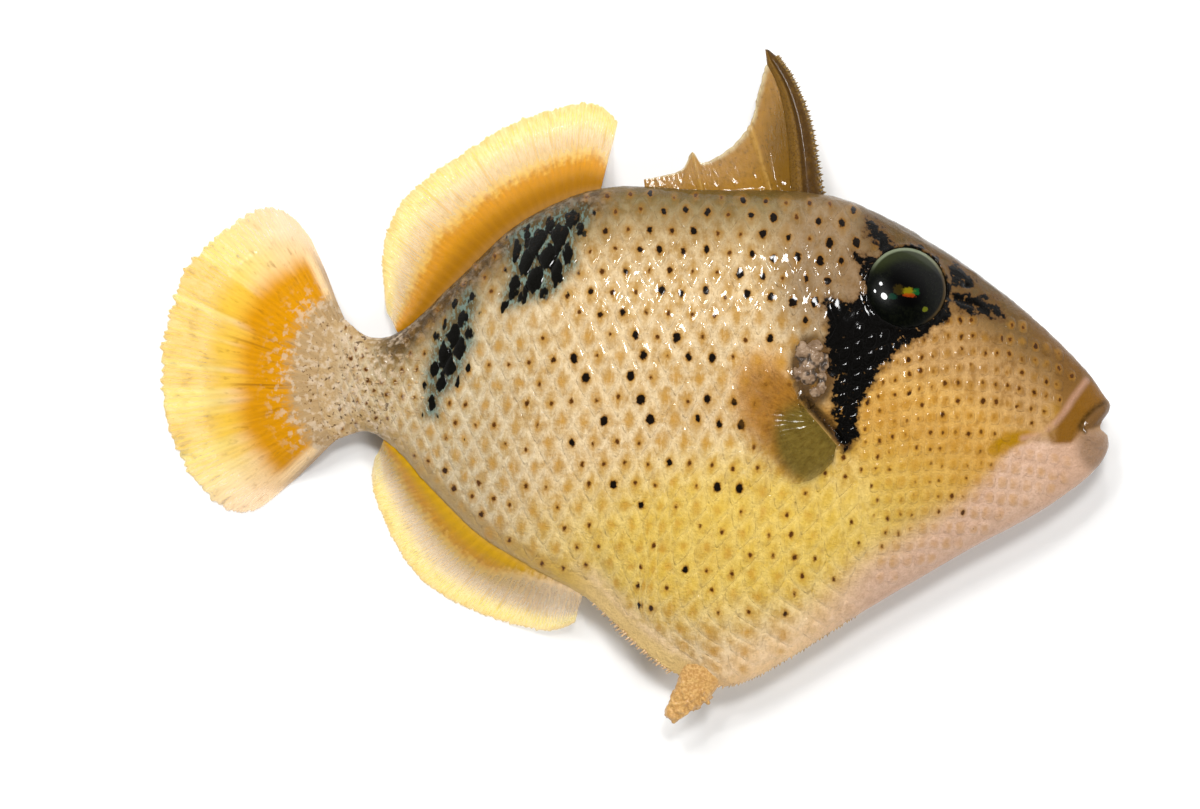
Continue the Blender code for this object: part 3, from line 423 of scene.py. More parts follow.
MOUTH_TRIANGLE = [(44.6, 1.6), (42.9, 2.5), (41.8, 1.0), (40.7, -0.6), (39.8, -1.8),
                  (38.8, -2.7), (37.4, -3.4), (39.4, -3.7), (41.3, -3.5), (42.3, -2.3),
                  (43.5, -0.7), (44.6, 0.5)]
UPPER_LIP_STRIP = [(42.2, -1.9), (42.7, -1.1), (43.5, -0.3), (44.4, 0.3), (45.4, 0.5),
                   (45.4, -1.2), (44.3, -1.6), (43.4, -2.0), (42.7, -2.2)]
MOUTH_CORNER = [(42.4, -2.1), (42.6, -2.4)]
GILL_SHADOW = [(x - 0.1, y - 0.1) for x, y in GILL_SLIT]
MOUTH_CORNER_PATCH = [(33.2, -4.6), (34.0, -3.4), (35.4, -2.7), (37.0, -2.4), (38.0, -2.7),
                      (36.8, -3.7), (35.2, -4.5), (34.0, -5.2)]

# Each PAINT is a pair: the scales' colour, and the colour of the net between them.
FLANK_PAINT = linear(188, 148, 84), linear(234, 213, 174)
BACK_PAINT = linear(88, 72, 32), linear(124, 112, 76)
UPPER_PAINT = linear(160, 128, 78), linear(202, 178, 136)
NAPE_PAINT = linear(122, 96, 62), linear(156, 134, 106)
TAIL_PAINT = linear(186, 156, 112), linear(216, 200, 170)
UPPER_REAR_PAINT = linear(120, 98, 54), linear(166, 148, 110)
REAR_PAINT = linear(176, 148, 98), linear(218, 204, 174)
BELLY_PAINT = linear(212, 176, 72), linear(226, 198, 112)
KEEL_PAINT = linear(234, 196, 146), linear(242, 210, 168)
CHEEK_PAINT = linear(144, 104, 54), linear(202, 162, 108)
CHEEK_ORANGE_PAINT = linear(182, 130, 46), linear(220, 176, 100)
SNOUT_PAINT = linear(108, 74, 32), linear(136, 104, 62)
JAW_PAINT = linear(204, 166, 140), linear(230, 198, 174)
FOREHEAD_PAINT = linear(76, 60, 32), linear(94, 76, 48)
FOREHEAD_LINE = linear(70, 52, 24)
TEMPLE_PAINT = linear(112, 86, 54), linear(146, 122, 94)
SHEATH_PAINT = linear(58, 42, 18), linear(70, 54, 28)
# Dark mottled skin round the bony plates, also painted shade in the crevices between them.
SCUTE_GROUND_AND_SHADE = linear(74, 56, 36)
SADDLE_OLIVE, SADDLE_NET = linear(74, 62, 34), linear(98, 122, 114)
MOUTH_OCHRE, MOUTH_YELLOW = linear(122, 80, 18), linear(164, 118, 6)
# LIP_SHADE is the colour of the painted shade in the lip's crease and the mouth's corner.
LIP_TONE, LIP_SHADE = linear(104, 74, 42), linear(62, 40, 8)
LOWER_LIP_TONE = linear(152, 122, 98)
FOLD_TONE = linear(180, 138, 114)
# The colour of the painted shadow in the gill slit.
GILL_DARK = linear(16, 10, 4)
SMUDGE_PAINT = (linear(190, 134, 56),) * 2
FLAP_PAINT = linear(216, 184, 122), KEEL_PAINT[1]
FIN_ORANGE, FIN_DEEP = linear(208, 140, 0), linear(152, 100, 0)
FIN_GOLD = linear(196, 148, 14)
FIN_YELLOW, FIN_PALE, FIN_PINK = linear(250, 200, 36), linear(252, 228, 100), linear(252, 216, 162)
FIN_GREY, FIN_BROWN = linear(176, 146, 104), linear(132, 84, 10)
FIN_LEADING, FIN_LILAC = linear(160, 132, 102), linear(206, 184, 156)


def line_distance(x, y, line):
    """The distance in side view from places to a line of points."""
    flat = np.stack([x, y], axis=-1)
    nearest = np.full(x.shape, np.inf)
    for start, end in zip(line[:-1], line[1:]):
        start, run = np.array(start), np.subtract(end, start)
        t = np.clip(((flat - start) @ run) / max(run @ run, 1e-9), 0, 1)
        nearest = np.minimum(nearest, np.linalg.norm(flat - start - t[..., None] * run, axis=-1))
    return nearest


def outline_distance(x, y, outline):
    """The distance to a closed outline, below 0 inside it."""
    inside = np.zeros(x.shape, bool)
    for (x0, y0), (x1, y1) in zip(outline, outline[1:] + outline[:1]):
        crosses = (y0 > y) != (y1 > y)
        at = x0 + (y - y0) * (x1 - x0) / (y1 - y0 if y1 != y0 else 1e-9)
        inside ^= crosses & (x < at)
    away = line_distance(x, y, outline + outline[:1])
    return np.where(inside, -away, away)


def within(x, y, outline, soft):
    """1 inside an outline, 0 outside, with an edge this soft."""
    return smooth_step(0.5 - outline_distance(x, y, outline) / soft)


def in_oval(x, y, centre, radii, tilt=0.0, soft=0.5):
    """1 in an oval, 0 outside. soft is the share of the radius over which it fades."""
    c, s = math.cos(math.radians(tilt)), math.sin(math.radians(tilt))
    dx, dy = x - centre[0], y - centre[1]
    away = np.hypot((dx * c + dy * s) / radii[0], (dy * c - dx * s) / radii[1])
    return smooth_step((1 + soft / 2 - away) / soft)


def near_line(x, y, line, width, soft):
    """1 on a line, 0 away from it. The line is smoothed through its points."""
    fine = [tuple(p) for p in curve_at(line, steps(6 * (len(line) - 1)))]
    return smooth_step((width / 2 + soft / 2 - line_distance(x, y, fine)) / soft)


def laid_over(colours, colour, amount):
    return colours + (colour - colours) * amount[:, None]


def painted(colours, layers):
    """Colours with layers over them in turn, each a colour and its amount at every place."""
    for colour, amount in layers:
        colours = laid_over(colours, colour, amount)
    return colours


def head_side(x, y):
    """How far a place lies ahead of the line between trunk and head, below 0 behind it."""
    line = np.array(HEAD_LINE)[::-1]
    return x - np.interp(y, line[:, 1], line[:, 0])


def body_colours(x, y):
    """The two colours of the pattern at places in side view: of a scale, and of the net."""
    below_back, above_belly = height_at(BACK, x) - y, y - height_at(BELLY, x)
    head = smooth_step(head_side(x, y) / (3.0 + 5 * ramp(y, -3, -6)) + 0.5)
    upper_rear = ramp(x, 0, -5) * ramp(x, -27, 5)
    jaw_edge = 1.3 + 3.4 * ramp(x, 37, -12)
    layers = [
        (REAR_PAINT, ramp(x, -4, -12)),
        (CHEEK_PAINT, head),
        (CHEEK_ORANGE_PAINT, in_oval(x, y, (26.5, -4.0), (10.5, 6.0), -10, 0.8) * head),
        (BELLY_PAINT, in_oval(x, y, (10.5, -14), (18, 7.5), 12, 1.1)),
        (SNOUT_PAINT, head * smooth_step((y + 0.62 * (x - 24) - 7.4) / 7.0)),
        (UPPER_PAINT, (1 - head) * ramp(below_back, 10.5, -8) * ramp(x, -16, 8)),
        (BACK_PAINT, (1 - head) * ramp(below_back, 6.4, -6.2) * ramp(x, -20, 8)),
        (UPPER_REAR_PAINT, 0.8 * ramp(below_back, 7.5, -5) * upper_rear),
        (SHEATH_PAINT, sheath_amount(x, y)),
        (TAIL_PAINT, ramp(x, -23.5, -4)),
        (KEEL_PAINT, ramp(above_belly, 6.5, -6) * ramp(x, 5, 8)),
        (JAW_PAINT, within(x, y, JAW, jaw_edge) * ramp(x, 16, 9)),
        (FLAP_PAINT, ramp(above_belly, 4.5, -3) * ramp(x, 9, -4) * ramp(x, -6, 4)),
        (NAPE_PAINT, in_oval(x, y, (18.0, 11.5), (5.5, 7.5), 0, 1.0)),
        (TEMPLE_PAINT, in_oval(x, y, (20.6, 11.0), (2.2, 3.0), 0, 0.8)),
        (FOREHEAD_PAINT, ramp(below_back, 6.6, -4.6) * ramp(x, 18, 4) * ramp(x, 42, -11)),
        (SMUDGE_PAINT, 0.75 * in_oval(x, y, (12.4, -0.6), (3.0, 4.4), 12, 0.8)),
    ]
    return [painted(base, [(paints[which], amount) for paints, amount in layers])
            for which, base in enumerate(FLANK_PAINT)]


def head_paint(tone, x, y):
    """Markings of forehead, mouth, jaw fold and bony plates over the head's tones, and painted
    shade and shadow in their creases and the gill slit.
    """
    streaks = [(FOREHEAD_LINE, 0.55 * near_line(x, y, streak, 0.12, 0.5))
               for streak in FOREHEAD_STREAKS]
    return painted(tone, streaks + [
        (MOUTH_YELLOW, within(x, y, MOUTH_CORNER_PATCH, 0.8)),
        (MOUTH_YELLOW, 0.6 * in_oval(x, y, (39.2, -0.6), (0.9, 0.8), 0, 0.8)),
        (MOUTH_OCHRE, within(x, y, MOUTH_TRIANGLE, 0.5)),
        (LOWER_LIP_TONE, in_oval(x, y, (44.0, -4.0), (2.3, 1.9), -40, 0.7)),
        # Painted shade: a dark line along the crease above the upper lip's strip.
        (LIP_SHADE, 0.95 * near_line(x, y, UPPER_LIP_STRIP[:4], 0.8, 0.5)),
        (LIP_TONE, within(x, y, UPPER_LIP_STRIP, 0.35)),
        (FOLD_TONE, 0.9 * near_line(x, y, FOLD, 0.55, 0.6)),
        # Painted shade in the mouth's corner.
        (LIP_SHADE, near_line(x, y, MOUTH_CORNER, 0.3, 0.4)),
        # The skin round the bony plates: its dark mottling, and painted shade in the crevices
        # between them.
        (SCUTE_GROUND_AND_SHADE, scute_ground(x, y)),
        # Painted shadow: near-black along the gill slit, where its opening lies in shade.
        (GILL_DARK, near_line(x, y, GILL_SHADOW, 1.0, 0.6)),
    ])


def ink_distance(x, y):
    """How far each place is from the black blotch and the black marks ahead of the eye."""
    found = [outline_distance(x, y, outline) for outline in [INK] + INK_AHEAD]
    slit = line_distance(x, y, [(19.2, -1.8), (20.0, -3.6), (19.9, -4.4)]) - 0.7
    return np.minimum(np.min(found, axis=0), slit)


def saddle_amount(x, y):
    return np.maximum(*[within(x, y, outline, 3.6) for outline in SADDLES])


def paint(mesh, x, y, rim, tile, dot):
    """Writes a mesh's markings, from its points' places in side view.

    rim is each point's share of the way to its scale's rim, tile its place in that scale, and dot
    the radius of that scale's dot.
    """
    tone, net = body_colours(x, y)
    marks = np.stack([ink_distance(x, y), saddle_amount(x, y), ochre_amount(x, y)], axis=-1)
    tail = 0.85 * ramp(x, -18.5, -6)
    sheath = sheath_amount(x, y)
    set_fields(mesh, rim=rim, tone=with_alpha(head_paint(tone, x, y)), net=with_alpha(net),
               marks=marks, tile=tile, dot=dot, plain=1 - net_strength(x, y),
               pale=np.maximum(tail, 0.2 * sheath), specks=np.maximum(tail, 0.75 * sheath))


def net_strength(x, y):
    """How plainly the net of scale edges shows, 0 to 1."""
    head = smooth_step(head_side(x, y) / 2)
    upper = smooth_step((y + 0.35 * (x - 24) + 3) / 5)
    strength = 0.72 + (0.42 + 0.33 * upper - 0.72) * head
    near_profile = smooth_step((3.8 - height_at(BACK, x) + y) / 2.4)
    strength = strength * (1 - 0.7 * head * near_profile)
    jaw = within(x, y, JAW, 3.0) * ramp(x, 14, 9)
    strength = strength + (0.3 - strength) * jaw
    bare = np.maximum(scute_ground(x, y), near_line(x, y, GILL_SLIT, 2.0, 0.6))
    bare = np.maximum(bare, within(x, y, MOUTH_CORNER_PATCH, 0.8))
    return strength * plated_amount(x, y) * (1 - bare)


def scute_ground(x, y):
    """How far the dark skin round the bony plates shows, 0 to 1: its own mottling, and painted
    shade in the crevices between the plates.
    """
    return in_oval(x, y, (16.5, 1.9), (2.2, 3.5), 8, 0.4)


def sheath_amount(x, y):
    """How far the dark band at the root of the soft back fin shows, 0 to 1."""
    below_back = height_at(BACK, x) - y
    return ramp(below_back, 4.2, -2.8) * ramp(x, -1, -4) * ramp(x, -26, 4)


def ochre_amount(x, y):
    """How strongly each scale has an ochre smudge at its middle."""
    flank = ramp(x, -24, 8) * ramp(x, 19, -3)
    upper = ramp(y, 2, 6)
    return np.clip((0.7 - 0.4 * upper) * flank + 0.4 * smooth_step(head_side(x, y)), 0, 1)


# Materials

class Finish:
    """A material, and short calls that add its nodes."""

    def __init__(self, name, **settings):
        self.material = bpy.data.materials.new(name)
        self.material.use_nodes = True
        tree = self.material.node_tree
        self.nodes, self.links = tree.nodes, tree.links
        self.shader = self.nodes["Principled BSDF"]
        self.set(**settings)

    def set(self, **settings):
        """Sets the shader's inputs: Base_Color is its Base Color."""
        for name, value in settings.items():
            self.put(self.shader.inputs[name.replace("_", " ")], value)

    def put(self, socket, value):
        if isinstance(value, bpy.types.NodeSocket):
            self.links.new(value, socket)
        elif value is not None:
            if socket.type == "RGBA" and len(value) == 3:
                value = (*value, 1)
            socket.default_value = value

    def math(self, operation, *values, clamp=False):
        node = self.nodes.new("ShaderNodeMath")
        node.operation, node.use_clamp = operation, clamp
        for socket, value in zip(node.inputs, values):
            self.put(socket, value)
        return node.outputs[0]

    def times(self, a, b):
        return self.math("MULTIPLY", a, b)

    def plus(self, a, b):
        return self.math("ADD", a, b)

    def minus(self, a, b):
        return self.math("SUBTRACT", a, b)

    def times_plus(self, a, b, c):
        """a times b, plus c."""
        return self.math("MULTIPLY_ADD", a, b, c)

    def length(self, x, y):
        return self.math("SQRT", self.plus(self.times(x, x), self.times(y, y)))

    def rise(self, value, low, high):
        """0 below low, 1 above high, smooth between. low may be above high."""
        node = self.nodes.new("ShaderNodeMapRange")
        node.interpolation_type = "SMOOTHSTEP"
        for name, given in (("Value", value), ("From Min", low), ("From Max", high)):
            self.put(node.inputs[name], given)
        return node.outputs[0]

    def mix(self, amount, a, b):
        node = self.nodes.new("ShaderNodeMix")
        node.data_type = "RGBA"
        self.put(node.inputs["Factor"], amount)
        self.put(node.inputs[6], a)
        self.put(node.inputs[7], b)
        return node.outputs[2]

    def read(self, name, output="Fac"):
        node = self.nodes.new("ShaderNodeAttribute")
        node.attribute_name = name
        return node.outputs[output]

    def split(self, vector):
        node = self.nodes.new("ShaderNodeSeparateXYZ")
        self.put(node.inputs[0], vector)
        return node.outputs[0], node.outputs[1], node.outputs[2]

    def places(self):
        """Places in the object's own metres."""
        return self.nodes.new("ShaderNodeTexCoord").outputs["Object"]

    def noise(self, size, detail=2.0, roughness=0.55, squeeze=None, vector=None):
        """Noise from 0 to 1 with features of about this size in millimetres."""
        node = self.nodes.new("ShaderNodeTexNoise")
        vector = vector or self.places()
        if squeeze:
            scaled = self.nodes.new("ShaderNodeVectorMath")
            scaled.operation = "MULTIPLY"
            self.put(scaled.inputs[0], vector)
            self.put(scaled.inputs[1], squeeze)
            vector = scaled.outputs[0]
        self.put(node.inputs["Vector"], vector)
        node.inputs["Scale"].default_value = 1 / (size * MM)
        node.inputs["Detail"].default_value = detail
        node.inputs["Roughness"].default_value = roughness
        return node.outputs["Fac"]

    def bump(self, height, distance, strength=1.0):
        """Bump with heights of 0 to 1 times distance, in millimetres."""
        node = self.nodes.new("ShaderNodeBump")
        node.inputs["Strength"].default_value = strength
        node.inputs["Distance"].default_value = distance * MM
        self.put(node.inputs["Height"], height)
        return node.outputs[0]


def scaled_colour(f, fine, middle, broad):
    """The scales' own colours, with the pale net and fine streaks over them."""
    tone, net, rim = f.read("tone", "Color"), f.read("net", "Color"), f.read("rim")
    scaled = f.minus(1.0, f.read("plain"))
    _, _, chance = f.split(f.read("tile", "Vector"))
    tone = f.mix(f.times(f.rise(broad, 0.5, 0.75), f.times(scaled, 0.5)), tone, net)
    tone = f.mix(f.times(f.rise(chance, 0.5, 1.0), 0.22), tone, linear(178, 136, 76))
    rough_rim = f.plus(rim, f.times_plus(middle, 0.6, -0.3))
    netted = f.times(f.rise(rough_rim, 0.2, 0.95), scaled)
    netted = f.times(netted, f.rise(f.noise(1.1, 3), 0.22, 0.6))
    colour = f.mix(netted, tone, net)
    mottle = f.rise(f.times_plus(fine, 0.5, f.times(middle, 0.5)), 0.3, 0.7)
    colour = f.mix(f.times_plus(mottle, -0.3, 0.3), colour, linear(132, 94, 44))
    streaky = f.noise(0.6, 3, 0.6, (1.6, 0.6, 0.6))
    pale = f.times(f.rise(streaky, 0.5, 0.7), scaled)
    colour = f.mix(f.times(pale, 0.55), colour, net)
    dark = f.times(f.rise(streaky, 0.46, 0.3), scaled)
    return f.mix(f.times(dark, 0.4), colour, linear(148, 112, 62))


def dotted(f, colour, middle):
    """A colour with each scale's ochre smudge and dark dot over it."""
    _, _, ochre = f.split(f.read("marks", "Vector"))
    across, along, _ = f.split(f.read("tile", "Vector"))
    dot = f.read("dot")
    away = f.length(across, f.times(along, 0.75))
    smudge = f.rise(f.times_plus(middle, 1.1, away), 1.15, 0.5)
    colour = f.mix(f.times(smudge, f.times(ochre, 0.8)), colour, linear(186, 134, 46))
    away = f.length(f.times(across, 1.15), f.times(along, 0.85))
    beyond = f.minus(f.times_plus(f.noise(0.42, 2), 0.5, f.minus(away, 0.25)), dot)
    have = f.rise(dot, 0.04, 0.12)
    halo = f.times(f.rise(beyond, 0.2, 0.0), f.times(have, 0.75))
    colour = f.mix(halo, colour, linear(132, 86, 26))
    dark = f.mix(f.rise(dot, 0.16, 0.26), linear(84, 48, 14), linear(18, 10, 4))
    return f.mix(f.times(f.rise(beyond, 0.06, -0.05), have), colour, dark)


def saddled(f, colour):
    """A colour with pale patches, the dark saddles and small specks over it."""
    _, saddle, _ = f.split(f.read("marks", "Vector"))
    pale = f.times(f.rise(f.noise(0.75, 2), 0.44, 0.68), f.read("pale"))
    colour = f.mix(pale, colour, FIN_LILAC)
    netted = f.rise(f.noise(0.5, 2, 0.6, (1.6, 0.7, 0.7)), 0.45, 0.58)
    stain = f.mix(netted, SADDLE_OLIVE, SADDLE_NET)
    colour = f.mix(f.times(f.rise(saddle, 0.1, 0.75), 0.9), colour, stain)
    torn = f.times_plus(f.noise(1.0, 2, 0.5, (1.5, 0.7, 0.7)), 1.7, -0.85)
    blob = f.times_plus(saddle, 1.16, f.times_plus(f.read("rim"), -0.8, torn))
    colour = f.mix(f.rise(blob, 0.25, 0.42), colour, linear(10, 9, 6))
    specks = f.times(f.rise(f.noise(0.5, 3), 0.6, 0.68), f.read("specks"))
    return f.mix(specks, colour, linear(74, 48, 20))


def inked(f, colour):
    """A colour with the black blotch over it: a singed, uneven edge, and flecks just inside."""
    ink, _, _ = f.split(f.read("marks", "Vector"))
    edge = f.times_plus(f.noise(1.05, 4, 0.6), 3.0, f.minus(ink, 1.5))
    colour = f.mix(f.times(f.rise(edge, 0.75, 0.0), 0.7), colour, linear(92, 62, 30))
    flecks = f.times(f.rise(f.noise(0.5, 2), 0.62, 0.7), f.rise(ink, -1.8, -0.3))
    black = f.times(f.rise(edge, 0.16, -0.12), f.minus(1.0, flecks))
    return f.mix(black, colour, linear(5, 4, 3))


def skin_finish():
    """Wet scaled skin: pale net, ochre smudges, dots, dark saddles and the black blotch."""
    f = Finish("fish_skin", Specular_IOR_Level=0.04, Coat_Weight=0.65, Coat_Roughness=0.07,
               Coat_IOR=1.36)
    fine, middle, broad = f.noise(0.22, 3), f.noise(0.7, 3), f.noise(3.2, 2)
    colour = dotted(f, scaled_colour(f, fine, middle, broad), middle)
    height = f.times_plus(middle, 0.5, f.times(fine, 0.5))
    f.set(Base_Color=inked(f, saddled(f, colour)), Normal=f.bump(height, 0.34, 0.85),
          Roughness=f.times_plus(broad, 0.2, 0.36))
    return f.material


# The skin

def lip(name, size):
    """A bent roll from corner to corner of the mouth round the front of the jaw."""
    rise, radius = size
    angle = LIP_ARC * (steps(LIP_STEPS) - 0.5)
    front = np.maximum(np.cos(angle), 0.0)
    x = LIP_CORNER[0] + LIP_REACH * np.cos(angle)
    path = np.stack([x, LIP_CORNER[1] + rise * front,
                     mid_height(x) + LIP_HALF_SPAN * np.sin(angle)], axis=-1)
    radii = LIP_CORNER_RADIUS + (radius - LIP_CORNER_RADIUS) * front ** LIP_FULLNESS
    return tube(name, path, radii, (0, 1, 0))


def eye_rim(name, side):
    """The fold of skin round an eye, laid along the flank."""
    angle = round_angles(RIM_STEPS)
    x, y = EYE[0] + RIM_RADIUS * np.cos(angle), EYE[1] + RIM_RADIUS * np.sin(angle)
    path, over = flank_points(x, y, side, -0.02), flank_normals(x, y, side)
    ahead = unit(np.roll(path, -1, axis=0) - np.roll(path, 1, axis=0))
    rings = rings_round(path, unit(np.cross(ahead, over)), over, RIM_THICKNESS, RIM_SIDES)
    faces, last = ring_faces(RIM_STEPS, RIM_SIDES, False), (RIM_STEPS - 1) * RIM_SIDES
    for i in range(RIM_SIDES):
        next_one = (i + 1) % RIM_SIDES
        faces.append((last + i, last + next_one, next_one, i))
    return recalculate_normals(mesh_object(name, rings.reshape(-1, 3), faces))


def eye_dome(name, side, grow=0.0):
    """An eye as a low dome that bulges from the flank, and its hidden underside."""
    angle = round_angles(DOME_SIDES)
    share = np.sin(math.pi / 2 * (np.arange(DOME_RINGS) + 1) / (DOME_RINGS + 0.001))
    layers = []
    for top in (True, False):
        for part in (share if top else share[-2::-1]):
            reach = (DOME_RADIUS + grow) * part
            x, y = EYE[0] + reach * np.cos(angle), EYE[1] + reach * np.sin(angle)
            rest = max(1 - part * part, 0.0)
            out = DOME_HEIGHT * rest ** 0.8 if top else -DOME_DEPTH * rest ** 0.5
            layers.append(flank_points(x, y, side, out + (grow if top else -grow)))
    return loft(name, layers)


def tail_taper(x, y):
    """How the body thins towards the root of the tail fin, so that one flows into the other."""
    end_x, end_y = np.array(TAIL_END).T
    return 0.34 + 0.66 * smooth_step((x - np.interp(-y, -end_y, end_x)) / 4.5)


def base_form():
    """The body as rings round stations from the tail to the nose."""
    k = steps(SKIN_STATIONS)
    x = (NOSE_X - (NOSE_X - TAIL_X) * (1 - k) ** STATION_CROWDING)[:, None]
    angle = round_angles(SKIN_RING)
    mid = height_at(WIDEST_HEIGHT, x)
    reach = np.where(np.cos(angle) > 0, height_at(BACK, x) - mid, mid - height_at(BELLY, x))
    y = mid + reach * np.cos(angle)
    side = np.where(np.arange(SKIN_RING) <= SKIN_RING / 2, 1, -1) + 0 * x
    rings = flank_points(x + 0 * y, y, side, -SKIN_SINK * np.abs(np.sin(angle)))
    middle = mid_height(rings[..., 0])
    rings[..., 2] = middle + (rings[..., 2] - middle) * tail_taper(rings[..., 0], y)
    return loft("skin", above_floor(rings))


def pocket():
    """The hollow in which the folded left pectoral fin lies."""
    angle = round_angles(POCKET_SIDES)
    circle = np.stack([np.cos(angle), np.sin(angle), 0 * angle], axis=-1)
    wide, narrow = POCKET_RADII
    rings = [np.array([*POCKET_CENTRE, z]) + radius * circle
             for radius, z in ((wide, -3.0), (wide, 0.0), (narrow, POCKET_DEPTH))]
    return loft("pocket", rings)


def skin_cuts():
    """What is cut from the skin: mouth, sockets, nostrils, slits and what lies past the tail."""
    cuts = [prism("notch", NOTCH, -3, 20),
            ball("mouth", (*MOUTH_CENTRE, MID_HEIGHT), MOUTH_SIZE)]
    beyond = [tuple(p) for p in curve_at(TAIL_END, steps(20))]
    beyond += [(PAST_TAIL_X, TAIL_END[-1][1]), (PAST_TAIL_X, TAIL_END[0][1])]
    cuts += [prism("beyond", beyond, -3, 20), pocket()]
    for side in SIDES:
        cuts.append(eye_dome("socket", side, 0.04))
        cuts.append(flank_roll("groove", GROOVE, (0.5, 0.2), side, -0.1))
        cuts.append(flank_roll("slit", GILL_SLIT, (0.3, 0.38), side, 0.15))
        for x, y in NOSTRILS:
            turn = turn_to(flank_normals(np.array(x), np.array(y), side))
            cuts.append(ball("nostril", flank_points(x, y, side), NOSTRIL_SIZE, turn, 20, 12))
    return cuts


FOREHEAD_STREAKS = [((22.0, 16.4), (27.5, 13.6)), ((23.5, 16.0), (30.0, 12.3)),
                    ((25.0, 15.3), (31.5, 11.8)), ((27.5, 14.4), (34.0, 10.2)),
                    ((21.5, 17.2), (26.0, 15.4))]
LIP_CREASES = [((41.8, -2.4), (41.7, -3.2), (42.0, -4.2)), ((43.0, -4.6), (43.6, -5.6)),
               ((41.0, -3.6), (40.9, -4.8))]
DORSAL_CREASE = [(-4.0, 16.4), (-8.0, 15.2), (-12.0, 12.4), (-16.0, 8.4), (-20.0, 4.2)]
ANAL_CREASE = [(-3.0, -19.0), (-9.0, -16.6), (-14.0, -13.8), (-19.0, -9.4)]
# Lines that stand out from the skin or, below 0, lie in it: points, height, width and softness.
SKIN_LINES = [(FOLD, 0.17, 0.35, 0.7)]
SKIN_LINES += [(streak, 0.07, 0.15, 0.5) for streak in FOREHEAD_STREAKS]
SKIN_LINES += [(crease, -0.08, 0.1, 0.45) for crease in LIP_CREASES]
SKIN_LINES += [(DORSAL_CREASE, -0.12, 0.2, 1.0), (ANAL_CREASE, -0.12, 0.2, 1.0),
               (UPPER_LIP_STRIP[:4], -0.1, 0.1, 0.5),
               ([(x - 0.55, y - 0.45) for x, y in GILL_SLIT], 0.16, 0.25, 0.6)]


def relief(points):
    """How far each point of the skin stands in or out, in mm."""
    x, y = points[:, 0], points[:, 1]
    lines = sum(height * near_line(x, y, line, width, soft)
                for line, height, width, soft in SKIN_LINES)
    return lines + (0.05 * roughness_of(points, 1.3, 1) + 0.03 * roughness_of(points, 0.6, 2))


def build_skin():
    skin = base_form()
    grown = [lip("upper lip", UPPER_LIP), lip("lower lip", LOWER_LIP)]
    grown += [eye_rim("rim", side) for side in SIDES]
    combine(skin, grown, "UNION")
    combine(skin, skin_cuts(), "DIFFERENCE")
    remesh(skin, SKIN_VOXEL)
    points = smoothed(skin.data, points_of(skin.data), SKIN_SMOOTHING)
    set_points(skin.data, points)
    points += normals_of(skin.data) * relief(points)[:, None]
    set_points(skin.data, above_floor(points))
    return skin


def finish_skin(skin, material):
    points = points_of(skin.data)
    x, y, none = points[:, 0], points[:, 1], np.zeros(len(points))
    paint(skin.data, x, y, none + 1, np.tile(BARE_SKIN_TILE, (len(x), 1)), none)
    place(skin, material, "skin", "head", "trunk", "tail", "belly_flap")


# The scale plates

TRUNK_PITCH = [(-29, 1.0), (-24, 1.15), (-18, 1.65), (-9, 2.1), (24, 2.1)]
ROW_PITCH, LEAN = 0.95, 0.3
LATTICE_X, LATTICE_ROUND = (-30, 30, 241), 120
TRUNK_GRID, HEAD_GRID = ((0, 60), (-16, 17), 0.5), ((0, 28), (-14, 14), 0.0)
TRUNK_SPANS, HEAD_SPANS = (0.485, 0.97), (0.47, 0.47)
TRUNK_POWER, HEAD_POWER = 1.2, 3.2
CHEEK_START, CHEEK_CREST, CHEEK_PITCH, CHEEK_BEND = 17.0, 32.5, (1.2, 1.5), (0.02, 0.045)
PLATE_AROUND = 16
PLATE_STEPS = [(0.0, 0.07), (0.45, 0.06), (0.78, 0.035), (1.0, -0.04)]
PLATE_UNDER, PLATE_TILT, PLATE_VARIETY, TILE_SHIFT = -0.14, 0.03, 0.05, 0.12
BAKE_PATCH = 0.0014
BARE_SKIN_TILE = (5.0, 5.0, 0.5)


def plated_amount(x, y):
    """1 where scale plates cover the skin, 0 where it is bare."""
    below_back, above_belly = height_at(BACK, x) - y, y - height_at(BELLY, x)
    edge = smooth_step((np.minimum(below_back, above_belly) - 0.6) / 0.8)
    muzzle = ramp(x, 40.2, -1.5)
    flap = 1 - ramp(above_belly, 2.6, -1.2) * ramp(x, 9, -2)
    return edge * muzzle * flap * ramp(x, -28.5, 1.5)


class Lattice:
    """Rows of scales on the trunk: columns along the body, and rows measured over its curve."""

    def __init__(self):
        self.x = np.linspace(*LATTICE_X)
        pitch = np.interp(self.x, *np.array(TRUNK_PITCH).T)
        step = self.x[1] - self.x[0]
        self.columns = np.concatenate([[0], np.cumsum(step / ((pitch[1:] + pitch[:-1]) / 2))])
        self.arcs = []
        for x in self.x:
            low, high = height_at(BELLY, x), height_at(BACK, x)
            y = low + (high - low) * (1 - np.cos(math.pi * steps(LATTICE_ROUND))) / 2
            z = half_thickness(np.full_like(y, x), y)
            arc = np.concatenate([[0], np.cumsum(np.hypot(np.diff(y), np.diff(z)))])
            middle = np.interp(height_at(WIDEST_HEIGHT, x), y, arc)
            self.arcs.append((arc - middle, y))

    def place(self, column, row):
        """Side-view places of points given by column and row."""
        x = np.interp(column, self.columns, self.x)
        arc = row * np.interp(x, *np.array(TRUNK_PITCH).T) * ROW_PITCH
        at = np.clip((x - self.x[0]) / (self.x[1] - self.x[0]), 0, len(self.x) - 1.001)
        low = at.astype(int)
        y = np.empty_like(x)
        for k in np.unique(low):
            here = low == k
            near = np.interp(arc[here], *self.arcs[k])
            far = np.interp(arc[here], *self.arcs[k + 1])
            y[here] = near + (far - near) * (at[here] - k)
        lean = LEAN * np.maximum(-6 - y, 0) * smooth_step(x / 8)
        return x - lean * smooth_step((y - height_at(BELLY, x)) / 7), y


